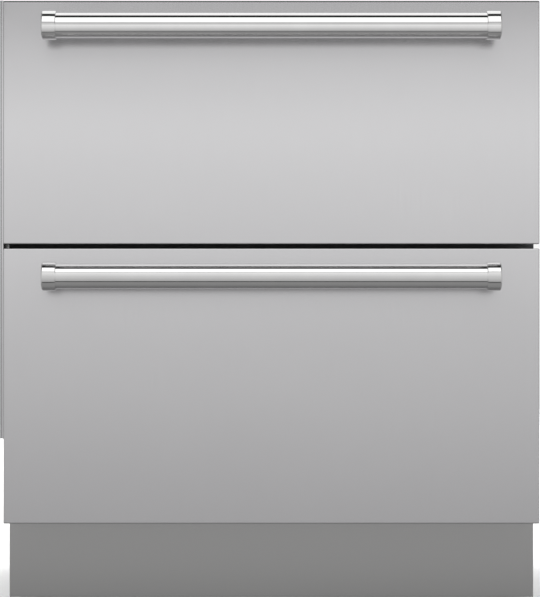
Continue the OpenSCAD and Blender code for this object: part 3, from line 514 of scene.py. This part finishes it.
class FridgeStudio(bpy.types.PropertyGroup):
    camera_distance: FloatProperty(
        name="Camera distance", description="From the lens to the drawer fronts", default=3.44, unit="LENGTH")
    camera_height: FloatProperty(
        name="Camera height", description="Height of the lens above the floor", default=0.4407, unit="LENGTH")
    camera_side: FloatProperty(
        name="Camera side step", description="The lens's place along the width",
        default=-0.002, unit="LENGTH")
    view_height: FloatProperty(
        name="View height", description="Height of the view at the drawer fronts",
        default=0.8448, unit="LENGTH")
    room: FloatProperty(
        name="Room light", description="Brightness of the surrounding studio", default=1.0, min=0, max=4)
    side_room: FloatProperty(
        name="Side light", description="Brightness of the studio's sides", default=0.3, min=0, max=4)
    side_panel: FloatProperty(
        name="Side panels", description="Brightness of the panels at the far left and right", default=0.6,
        min=0, max=4)
    softbox: FloatProperty(
        name="Softbox", description="Brightness of the graduated softbox in front",
        default=1.0, min=0, max=20)
    back_light: FloatProperty(
        name="Back light", description="Brightness of the light over the floor behind",
        default=5.0, min=0, max=20)
    floor: FloatVectorProperty(
        name="Floor", description="Colour of the floor",
        subtype="COLOR", size=3, min=0, max=1, default=(0.8, 0.8, 0.8))


# ---------------------------------------------------------------- drawer fronts


def front_rings(name):
    """The front's box, and a function that gives a rounded ring at an inset and a depth."""
    low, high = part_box(name)
    centre = (low + high) / 2
    half = (high - low) / 2

    def ring(inset, y, radius, steps=6):
        outline = rounded_outline(half.x - inset, half.z - inset, radius, steps)
        return [(centre.x + a, y, centre.z + b) for a, b in outline]

    return low, high, ring


class FRIDGE_OT_front_skins(bpy.types.Operator):
    """Folds the stainless skin of each drawer front"""

    bl_idname = "fridge.front_skins"
    bl_label = "Drawer front skins"

    def execute(self, context):
        for drawer in DRAWERS:
            self.make(drawer, context.scene.fridge_sizes)
        return {"FINISHED"}

    def make(self, drawer, sizes):
        low, high, ring = front_rings(f"{drawer}_front_skin")
        sheet, fold, corner = sizes.skin_thickness, sizes.skin_fold, sizes.skin_corner
        back_fold = sheet * 1.2
        rings = []
        for angle in arc(0, 90, 8):
            inset = fold * (1 - math.sin(angle))
            rings.append(ring(inset, low.y + fold * (1 - math.cos(angle)), corner - inset))
        for angle in arc(0, 90, 4):
            inset = back_fold * (1 - math.cos(angle))
            rings.append(ring(inset, high.y - back_fold * (1 - math.sin(angle)), corner - inset))
        rings.append(ring(sizes.hem, high.y, 0.0004))
        rings.append(ring(sizes.hem, high.y - sheet, 0.0004))
        rings.append(ring(sheet, high.y - sheet, corner - sheet))
        inner_fold = fold - sheet
        for angle in reversed(arc(0, 90, 6)):
            inset = sheet + inner_fold * (1 - math.sin(angle))
            rings.append(ring(inset, low.y + sheet + inner_fold * (1 - math.cos(angle)), corner - inset))
        bm = bmesh.new()
        loft(bm, rings, cap_first=True, cap_last=True)
        piece(
            f"{drawer}_skin", bm, f"{drawer}_drawer", finishes()["front_stainless"],
            [f"{drawer}_front_skin"], sharp=50,
        )


class FRIDGE_OT_inner_panels(bpy.types.Operator):
    """Moulds the inner panel of each drawer front, with its seal land and recess"""

    bl_idname = "fridge.inner_panels"
    bl_label = "Inner panels"

    def execute(self, context):
        for drawer in DRAWERS:
            self.make(drawer, context.scene.fridge_sizes)
        return {"FINISHED"}

    def make(self, drawer, sizes):
        low, high, ring = front_rings(f"{drawer}_front_liner")
        wall, edge, recess = 0.0015, 0.003, sizes.panel_recess
        land, pan = 0.095, 0.095 + 2.5 * sizes.panel_recess
        rings = [ring(wall, low.y, 0.0015), ring(0, low.y, 0.003)]
        for angle in arc(0, 90, 6):
            inset = edge * (1 - math.cos(angle))
            rings.append(ring(inset, high.y - edge * (1 - math.sin(angle)), 0.004))
        rings.append(ring(land, high.y, 0.02))
        for angle in arc(0, 90, 4):
            depth = recess * (1 - math.cos(angle))
            rings.append(ring(land + recess * math.sin(angle), high.y - depth, 0.018))
        rings.append(ring(pan, high.y - recess, 0.014))
        outer_count = len(rings)
        rings.append(ring(pan, high.y - recess - wall, 0.014))
        rings.append(ring(land - wall, high.y - recess - wall, 0.02))
        rings.append(ring(land - wall, high.y - wall, 0.02))
        rings.append(ring(wall, high.y - wall, 0.002))
        bm = bmesh.new()
        rows = [[bm.verts.new(p) for p in r] for r in rings]
        count = len(rows[0])
        order = list(range(len(rows))) + [0]
        for a, b in zip(order, order[1:]):
            if a == outer_count - 1:
                continue
            for i in range(count):
                j = (i + 1) % count
                bm.faces.new((rows[a][i], rows[a][j], rows[b][j], rows[b][i]))
        bm.faces.new(rows[outer_count - 1])
        bm.faces.new(rows[outer_count])
        piece(
            f"{drawer}_inner_panel", bm, f"{drawer}_drawer", finishes()["liner_white"],
            [f"{drawer}_front_liner"], sharp=40,
        )


class FRIDGE_OT_gaskets(bpy.types.Operator):
    """Runs the bellows gasket round the back of each drawer front"""

    bl_idname = "fridge.gaskets"
    bl_label = "Gaskets"

    # The section in millimetres: distance in from the outer edge, and depth from the front panel
    SECTION = (
        (1.0, 0.0), (11.0, 0.0), (11.7, 1.0), (11.4, 2.4), (9.4, 3.3), (8.9, 4.6), (9.4, 5.9),
        (11.3, 6.8), (11.9, 8.6), (11.6, 10.6), (10.8, 11.5), (9.6, 11.7), (2.4, 11.7), (1.2, 11.5),
        (0.4, 10.6), (0.1, 8.6), (0.7, 6.8), (2.6, 5.9), (3.1, 4.6), (2.6, 3.3), (0.6, 2.4), (0.3, 1.0),
    )

    def execute(self, context):
        for drawer in DRAWERS:
            low, _, ring = front_rings(f"{drawer}_gasket")
            rings = [ring(d * MM, low.y + y * MM, (14 - d) * MM, 8) for d, y in self.SECTION]
            bm = bmesh.new()
            loft(bm, rings, close=True)
            piece(
                f"{drawer}_door_seal", bm, f"{drawer}_drawer", finishes()["gasket_vinyl"],
                [f"{drawer}_gasket"], sharp=60,
            )
        return {"FINISHED"}


# ---------------------------------------------------------------- handles


class FRIDGE_OT_handles(bpy.types.Operator):
    """Turns the polished handle bars, their ends and their posts"""

    bl_idname = "fridge.handles"
    bl_label = "Handles"

    def execute(self, context):
        for drawer in DRAWERS:
            self.bar(drawer, context.scene.fridge_sizes)
            for side in SIDES:
                self.end(drawer, side, context.scene.fridge_sizes)
        return {"FINISHED"}

    def bar(self, drawer, sizes):
        low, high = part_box(f"{drawer}_handle_bar")
        centre = (low + high) / 2
        radius = (high.z - low.z) / 2
        half = (high.x - low.x) / 2
        bore = radius - sizes.tube_wall
        profile = [(-half, radius), (half, radius), (half, bore), (-half, bore)]
        bm = bmesh.new()
        lathe(bm, profile, (1, 0, 0), centre, sizes.round_steps, close=True)
        piece(
            f"{drawer}_grip_bar", bm, f"{drawer}_drawer", finishes()["polished_handle"],
            [f"{drawer}_handle_bar"],
        )

    def end(self, drawer, side, sizes):
        node = f"{drawer}_handle_end_{side}"
        low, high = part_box(node)
        bar_low, bar_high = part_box(f"{drawer}_handle_bar")
        bar_radius = (bar_high.z - bar_low.z) / 2
        radius = (high.z - low.z) / 2
        axis_y = low.y + radius
        centre = Vector(((low.x + high.x) / 2, axis_y, (low.z + high.z) / 2))
        half = 0.01
        chamfer, soft = sizes.end_chamfer, 0.0003
        mouth = 0.0006
        depth = 0.012
        bore = bar_radius + 0.00005
        profile = [
            (half - 0.0002, 0), (half - 0.0002, radius * 0.55), (half, radius - chamfer - soft),
            (half - soft * 0.4, radius - chamfer), (half - chamfer, radius - soft * 0.5),
            (half - chamfer - soft, radius), (-half + mouth + soft, radius),
            (-half + mouth, radius - soft * 0.4),
            (-half, radius - mouth), (-half, bore), (-half + depth, bore), (-half + depth, 0),
        ]
        bm = bmesh.new()
        lathe(bm, profile, (SIDES[side], 0, 0), centre, sizes.round_steps)
        piece(
            f"{drawer}_grip_end_{side}", bm, f"{drawer}_drawer", finishes()["polished_handle_end"],
            [node], sharp=25,
        )
        base, foot, post = high.y, 0.012, 0.009
        reach = base - axis_y
        stem = [
            (math.sqrt(radius**2 - post**2) * 0.985, post),
            (reach - 0.0065, post), (reach - 0.0045, post + 0.0006),
            (reach - 0.0032, post + 0.002), (reach - 0.0025, foot - 0.0004), (reach - 0.002, foot),
            (reach, foot),
        ]
        bm = bmesh.new()
        lathe(bm, stem, (0, 1, 0), centre, 64)
        piece(
            f"{drawer}_grip_post_{side}", bm, f"{drawer}_drawer", finishes()["polished_handle_end"],
            sharp=35,
        )


# ---------------------------------------------------------------- tubs


class FRIDGE_OT_tubs(bpy.types.Operator):
    """Moulds the tub of each drawer, with a rolled rim, round corners and floor ribs"""

    bl_idname = "fridge.tubs"
    bl_label = "Tubs"

    def execute(self, context):
        for drawer in DRAWERS:
            self.make(drawer, context.scene.fridge_sizes)
        return {"FINISHED"}

    def make(self, drawer, sizes):
        low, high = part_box(f"{drawer}_tub")
        centre = (low + high) / 2
        rim_a, rim_b = (high.x - low.x) / 2, (high.y - low.y) / 2
        body_a, body_b = rim_a - 0.008, rim_b - 0.006
        wall, corner = sizes.tub_wall, sizes.tub_corner
        foot, draft = 0.007, 0.0005
        rim_depth, rim_edge = 0.0035, 0.0009
        rib_step, rib_half, rib_height = 0.08, 0.004, 0.0018

        def ring(a, b, z, radius):
            return [(centre.x + x, centre.y + y, z) for x, y in rounded_outline(a, b, radius, 8)]

        rings = []
        for angle in arc(0, 90, 6):
            inset = foot * (1 - math.sin(angle))
            z = low.z + foot * (1 - math.cos(angle))
            rings.append(ring(body_a - inset - draft, body_b - inset - draft, z, corner))
        top = high.z
        rings += [
            ring(body_a, body_b, top - 0.012, corner),
            ring(body_a, body_b, top - rim_depth, corner),
            ring(rim_a - 0.001, rim_b - 0.0006, top - rim_depth, corner + 0.004),
            ring(rim_a, rim_b, top - 0.0028, corner + 0.005),
            ring(rim_a, rim_b, top - rim_edge, corner + 0.005),
            ring(rim_a - rim_edge, rim_b - rim_edge, top, corner + 0.004),
            ring(body_a - wall + 0.0012, body_b - wall + 0.0012, top, corner - wall + 0.001),
            ring(body_a - wall, body_b - wall, top - 0.0012, corner - wall),
            ring(body_a - wall, body_b - wall, top - 0.014, corner - wall),
        ]
        inner_foot = foot - wall / 2
        for angle in reversed(arc(0, 90, 6)):
            inset = inner_foot * (1 - math.sin(angle))
            z = low.z + wall + inner_foot * (1 - math.cos(angle))
            side_inset = wall + inset + draft
            rings.append(ring(body_a - side_inset, body_b - side_inset, z, corner - wall))
        bm = bmesh.new()
        loft(bm, rings, cap_first=True, cap_last=True)
        floor = low.z + wall
        for i in range(7):
            x = centre.x + (i - 3) * rib_step
            rounded_bar(
                bm, (x - rib_half, centre.y - body_b + 0.03, floor - 0.001),
                (x + rib_half, centre.y + body_b - 0.03, floor + rib_height), 0.0012,
            )
        piece(
            f"{drawer}_bin", bm, f"{drawer}_drawer", finishes()["tub_white"],
            [f"{drawer}_tub"], sharp=35,
        )


# ---------------------------------------------------------------- controls


class FRIDGE_OT_controls(bpy.types.Operator):
    """Sets the temperature digits and the symbols on the control panel"""

    bl_idname = "fridge.controls"
    bl_label = "Display and symbols"

    SEGMENTS = {"3": "abcdg", "8": "abcdefg"}

    def execute(self, context):
        low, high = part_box("display_window")
        centre = (low + high) / 2
        bm = bmesh.new()
        for i, digit in enumerate("38"):
            self.digit(bm, digit, centre.x - 0.0075 + i * 0.0085, centre.z, low.y)
        lathe(
            bm, [(0, 0.0006), (0.0003, 0.0006), (0.0003, 0.0011), (0, 0.0011)], (0, -1, 0),
            (centre.x + 0.0075, low.y, centre.z + 0.0032), 20, close=True,
        )
        piece("display_digits", bm, "cabinet", finishes()["symbol_glow"])
        for name in ("power", "cooler", "warmer", "light"):
            self.symbol(name)
        return {"FINISHED"}

    def bar(self, bm, x, z, width, height, y):
        low = (x - width / 2, y - 0.0003, z - height / 2)
        high = (x + width / 2, y, z + height / 2)
        rounded_bar(bm, low, high, 0.00012, 2)

    def digit(self, bm, digit, x, z, y):
        w, h, t = 0.0042, 0.0038, 0.0008
        places = {
            "a": (0, h, w, t), "g": (0, 0, w, t), "d": (0, -h, w, t), "f": (-w / 2, h / 2, t, h),
            "b": (w / 2, h / 2, t, h), "e": (-w / 2, -h / 2, t, h), "c": (w / 2, -h / 2, t, h),
        }
        for segment in self.SEGMENTS[digit]:
            dx, dz, width, height = places[segment]
            gap = 0.0009
            self.bar(bm, x + dx, z + dz, max(width - gap, t), max(height - gap, t), y)

    def symbol(self, name):
        low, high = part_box(f"{name}_button")
        centre = (low + high) / 2
        y, size = low.y, 0.0024
        bm = bmesh.new()
        if name in ("cooler", "warmer"):
            self.bar(bm, centre.x, centre.z, 2 * size, 0.0007, y)
        if name == "warmer":
            for half in (-1, 1):
                self.bar(bm, centre.x, centre.z + half * (size + 0.0004) / 2, 0.0007, size - 0.0005, y)
        if name in ("power", "light"):
            outer = size if name == "power" else size * 0.55
            lathe(
                bm, [(0, outer - 0.0006), (0.0003, outer - 0.0006), (0.0003, outer), (0, outer)], (0, -1, 0),
                (centre.x, y, centre.z), 40, close=True,
            )
        if name == "power":
            self.bar(bm, centre.x, centre.z + size + 0.0007, 0.0007, 0.0012, y)
        if name == "light":
            for dx, dz in ((1, 0), (0, 1), (-1, 0), (0, -1)):
                width, height = (0.0012, 0.0006) if dx else (0.0006, 0.0012)
                self.bar(bm, centre.x + dx * size, centre.z + dz * size, width, height, y)
        piece(f"{name}_symbol", bm, f"{name}_button", finishes()["symbol_glow"])


# ---------------------------------------------------------------- small fixings


class FRIDGE_OT_fixings(bpy.types.Operator):
    """Sets rivets along the case's edges and screws on the slides' brackets"""

    bl_idname = "fridge.fixings"
    bl_label = "Rivets and screws"

    def execute(self, context):
        self.rivets()
        for drawer in DRAWERS:
            self.bracket_screws(drawer)
        return {"FINISHED"}

    # Heads as (along, radius) in metres
    RIVET = ((0, 0.0032), (0.0004, 0.003), (0.0008, 0.0022), (0.001, 0.001), (0.001, 0))
    SCREW = ((0, 0.0026), (0.0006, 0.0026), (0.0012, 0.002), (0.0014, 0.001), (0.0014, 0))

    def rivets(self):
        for side, sign in SIDES.items():
            low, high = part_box(f"{side}_side_panel")
            face = high.x if sign > 0 else low.x
            bm = bmesh.new()
            for y in (low.y + 0.05, high.y - 0.012):
                for i in range(7):
                    z = low.z + 0.14 + i * 0.1
                    lathe(bm, self.RIVET, (sign, 0, 0), (face, y, z), 20)
            piece(f"{side}_rivets", bm, "cabinet", finishes()["screw_zinc"], sharp=60)

    def bracket_screws(self, drawer):
        low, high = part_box(f"{drawer}_slide_inners")
        middle = (low.z + high.z) / 2
        tab_x = 0.308
        bm = bmesh.new()
        for sign in SIDES.values():
            for dz in (-0.006, 0.006):
                lathe(bm, self.SCREW, (0, 1, 0), (sign * tab_x, low.y + 0.0012, middle + dz), 20)
        piece(
            f"{drawer}_bracket_screws", bm, f"{drawer}_drawer", finishes()["screw_zinc"],
            sharp=60,
        )


# ---------------------------------------------------------------- carried-over nodes


NODE_FINISH = {
    "left_side_panel": "case_sheet", "right_side_panel": "case_sheet", "top_panel": "case_sheet",
    "rear_panel": "galvanised", "foam_insulation": "foam", "inner_liner": "liner_white",
    # painted shade: the front frame's near-black paint makes the gap between the drawers read dark, standing
    # in for the shade in it
    "front_frame": "dark_paint", "base_pan": "galvanised", "kick_plate": "kick_stainless",
    "side_filler_strip": "strip_stainless", "machine_rear_cover": "dark_paint",
    "cabinet_screws": "screw_zinc", "compressor": "compressor_paint", "compressor_grommets": "black_rubber",
    "condenser": "dark_paint", "condenser_fan_shroud": "black_plastic", "drain_pan": "black_plastic",
    "control_box": "grey_plastic", "refrigerant_lines": "copper", "evaporator": "fin_aluminium",
    "evaporator_fan_motor": "grey_plastic", "evaporator_cover": "liner_white", "light_bars": "light_cover",
    "control_panel": "grey_plastic", "display_window": "display_glass", "slide_outers": "slide_zinc",
    "condenser_fan_blade": "black_plastic", "evaporator_fan_blade": "liner_white",
    "power_button": "button_metal", "warmer_button": "button_metal", "cooler_button": "button_metal",
    "light_button": "button_metal", "foot_front_left": "foot_zinc", "foot_front_right": "foot_zinc",
    "foot_rear_left": "foot_zinc", "foot_rear_right": "foot_zinc",
}
DRAWER_FINISH = {
    "front_skin": "front_stainless", "front_core": "foam", "front_liner": "liner_white",
    "gasket": "gasket_vinyl", "handle_bar": "polished_handle", "handle_end_left": "polished_handle_end",
    "handle_end_right": "polished_handle_end", "handle_screws": "screw_zinc", "tub": "tub_white",
    "slide_inners": "slide_zinc", "slide_mids": "slide_zinc", "divider": "divider_grey",
}
SHEET_NODES = (
    "left_side_panel", "right_side_panel", "top_panel", "front_frame", "base_pan", "kick_plate",
    "side_filler_strip", "machine_rear_cover",
)
SOFT_NODES = {
    "control_panel": 0.0016, "light_bars": 0.0015, "power_button": 0.0008, "warmer_button": 0.0008,
    "cooler_button": 0.0008, "light_button": 0.0008, "upper_divider": 0.001, "lower_divider": 0.001,
    "control_box": 0.0012, "evaporator_cover": 0.0005,
}


def round_edges(node, width, segments=2):
    """Rounds a node's edges with modifiers, which leave its own mesh as it is."""
    weld = node.modifiers.new("join faces", "WELD")
    weld.merge_threshold = 0.000002
    bevel = node.modifiers.new("soft edges", "BEVEL")
    bevel.width = width
    bevel.segments = segments
    bevel.limit_method = "ANGLE"
    bevel.angle_limit = math.radians(50)
    bevel.use_clamp_overlap = True
    bevel.harden_normals = False


class FRIDGE_OT_node_finishes(bpy.types.Operator):
    """Gives every carried-over part its finish and softens the edges of the listed sheet and small parts"""

    bl_idname = "fridge.node_finishes"
    bl_label = "Finishes of the frame's parts"

    def execute(self, context):
        table = dict(NODE_FINISH)
        for drawer in DRAWERS:
            table.update({f"{drawer}_{part}": finish for part, finish in DRAWER_FINISH.items()})
        for name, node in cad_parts.items():
            material = finishes()[table[name]]
            if not node.material_slots:
                node.data.materials.append(material)
            for material_slot in node.material_slots:
                material_slot.link = "OBJECT"
                material_slot.material = material
        fold = context.scene.fridge_sizes.fold_bevel
        for name in SHEET_NODES:
            round_edges(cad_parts[name], fold)
        for name, width in SOFT_NODES.items():
            round_edges(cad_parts[name], width, 3)
        return {"FINISHED"}


# ---------------------------------------------------------------- studio


class FRIDGE_OT_studio(bpy.types.Operator):
    """Sets up the floor, the studio light and the camera"""

    bl_idname = "fridge.studio"
    bl_label = "Studio"

    # Brightness of the room round the width's axis: degrees from straight ahead over the top
    ROOM = (
        (-180, 0.3), (-137, 0.12), (-100, 0.24), (-75, 0.3), (-40, 0.28), (0, 0.5), (12, 0.45),
        (20, 0.7), (30, 1.6), (68, 1.6), (75, 0.02), (95, 0.02), (104, 1.2), (130, 1.25), (180, 1.0),
    )
    # The graduated softbox: its face, half its width, and its brightness by height in metres
    CARD_Y = -0.9
    CARD_HALF = 1.6
    CARD = (
        (-0.3, 0.33), (-0.25, 0.03), (-0.14, 0.03), (-0.11, 0.46), (-0.02, 0.53), (0.08, 0.55),
        (0.205, 0.62), (0.338, 0.71), (0.438, 0.74), (0.588, 0.9), (0.7, 0.93), (0.745, 1.1),
        (0.79, 0.96), (0.84, 0.88), (0.95, 0.74),
    )

    def execute(self, context):
        studio = context.scene.fridge_studio
        self.camera(context.scene, studio)
        self.floor(studio)
        self.world(context.scene, studio)
        self.card(studio)
        self.area("back_light", (0, 3.0, 3.0), (0, 2.6, 0), (6.0, 3.0), studio.back_light)
        context.scene.view_settings.view_transform = "Standard"
        return {"FINISHED"}

    def camera(self, scene, studio):
        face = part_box("upper_front_skin")[0].y
        data = bpy.data.cameras.new("studio_camera")
        data.lens = data.sensor_width * studio.camera_distance / studio.view_height
        data.clip_end = 60
        camera = bpy.data.objects.new("studio_camera", data)
        camera.location = (studio.camera_side, face - studio.camera_distance, studio.camera_height)
        camera.rotation_euler = (math.radians(90), 0, 0)
        scene.collection.objects.link(camera)
        scene.camera = camera

    def floor(self, studio):
        bm = bmesh.new()
        rounded_bar(bm, (-6, -6, -0.02), (6, 6, 0), 0.005)
        mesh = tidy_mesh(bm, "studio_floor")
        g = Graph(bpy.data.materials.new("studio_floor"))
        speckle = g.noise(60.0, 4.0, 0.6)
        colour = tuple(studio.floor)
        base = g.mix(speckle, tone(colour, 0.97), tone(colour, 1.02))
        g.surface(Base_Color=base, Roughness=0.75 + (speckle - 0.5) * 0.1)
        mesh.materials.append(g.owner)
        floor = bpy.data.objects.new("studio_floor", mesh)
        bpy.context.scene.collection.objects.link(floor)
        floor.visible_glossy = False

    def card(self, studio):
        """A wide graduated softbox in front, which only shows in what reflects it."""
        low, high = self.CARD[0][0], self.CARD[-1][0]
        bm = bmesh.new()
        half, face = self.CARD_HALF, self.CARD_Y
        rounded_bar(bm, (-half, face - 0.02, low), (half, face, high), 0.004)
        mesh = tidy_mesh(bm, "front_softbox")
        g = Graph(bpy.data.materials.new("front_softbox"))
        point = g.add("ShaderNodeTexCoord", out="Object")
        height = g.add("ShaderNodeSeparateXYZ", None, {0: point}, 2)
        stops = [((h - low) / (high - low), (v, v, v)) for h, v in self.CARD]
        glow = g.add("ShaderNodeValToRGB", {"stops": stops}, {0: (height - low) / (high - low)})
        mesh.materials.append(g.surface(
            Base_Color=(0, 0, 0), Roughness=1.0, Specular_IOR_Level=0.0,
            Emission_Color=glow, Emission_Strength=studio.softbox))
        card = bpy.data.objects.new("front_softbox", mesh)
        bpy.context.scene.collection.objects.link(card)
        for rays in ("camera", "diffuse", "transmission", "shadow"):
            setattr(card, f"visible_{rays}", False)

    def world(self, scene, studio):
        world = bpy.data.worlds.new("studio_room")
        scene.world = world
        g = Graph(world)
        way = g.add("ShaderNodeTexCoord", out="Generated")
        x, y, z = (g.add("ShaderNodeSeparateXYZ", None, {0: way}, i) for i in range(3))
        turn = g.add("ShaderNodeMath", {"operation": "ARCTAN2"}, {0: z, 1: y * -1.0}) / math.tau + 0.5
        stops = [((a + 180) / 360, (v, v, v)) for a, v in self.ROOM]
        bands = g.add("ShaderNodeValToRGB", {"stops": stops}, {0: turn})
        room = g.mix(x.absolute().step(0.3, 0.55), bands, tone((1, 1, 1), studio.side_room))
        room = g.mix(x.absolute().step(0.82, 0.95), room, tone((1, 1, 1), studio.side_panel))
        seen = g.add("ShaderNodeLightPath", out="Is Camera Ray")
        shown = g.mix(seen, room, (0.95, 0.95, 0.95))
        light = g.add("ShaderNodeBackground", None, {"Color": shown, "Strength": studio.room})
        g.add("ShaderNodeOutputWorld", None, {"Surface": light})

    def area(self, name, place, target, size, brightness):
        data = bpy.data.lights.new(name, "AREA")
        data.shape = "RECTANGLE"
        data.size, data.size_y = size
        data.energy = brightness * math.pi * size[0] * size[1]
        lamp = bpy.data.objects.new(name, data)
        lamp.location = place
        lamp.rotation_euler = (Vector(target) - Vector(place)).to_track_quat("-Z", "Y").to_euler()
        lamp.visible_camera = False
        lamp.visible_glossy = False
        bpy.context.scene.collection.objects.link(lamp)


# ---------------------------------------------------------------- panel and run


class FRIDGE_PT_panel(bpy.types.Panel):
    """Lists the fridge's pieces and settings"""

    bl_idname = "FRIDGE_PT_panel"
    bl_label = "Under counter fridge"
    bl_space_type = "VIEW_3D"
    bl_region_type = "UI"
    bl_category = "Fridge"

    def draw(self, context):
        for settings in (context.scene.fridge_look, context.scene.fridge_sizes, context.scene.fridge_studio):
            box = self.layout.box()
            for name in settings.bl_rna.properties.keys():
                if name not in ("rna_type", "name"):
                    box.prop(settings, name)
        for operator in OPERATORS:
            self.layout.operator(operator.bl_idname)


OPERATORS = (
    FRIDGE_OT_studio, FRIDGE_OT_node_finishes, FRIDGE_OT_front_skins, FRIDGE_OT_inner_panels,
    FRIDGE_OT_gaskets, FRIDGE_OT_handles, FRIDGE_OT_tubs, FRIDGE_OT_controls, FRIDGE_OT_fixings,
)
GROUPS = (FridgeLook, FridgeSizes, FridgeStudio)
CLASSES = GROUPS + OPERATORS + (FRIDGE_PT_panel,)
made_finishes = {}


def finishes():
    """The materials, made once from the panel's colours."""
    if not made_finishes:
        made_finishes.update(make_finishes(bpy.context.scene.fridge_look))
    return made_finishes


def register():
    for cls in CLASSES:
        bpy.utils.register_class(cls)
    bpy.types.Scene.fridge_look = PointerProperty(type=FridgeLook)
    bpy.types.Scene.fridge_sizes = PointerProperty(type=FridgeSizes)
    bpy.types.Scene.fridge_studio = PointerProperty(type=FridgeStudio)


def unregister():
    del bpy.types.Scene.fridge_studio
    del bpy.types.Scene.fridge_sizes
    del bpy.types.Scene.fridge_look
    for cls in reversed(CLASSES):
        bpy.utils.unregister_class(cls)


def main():
    register()
    for operator in OPERATORS:
        group, name = operator.bl_idname.split(".")
        getattr(getattr(bpy.ops, group), name)()


if __name__ == "__main__":
    main()
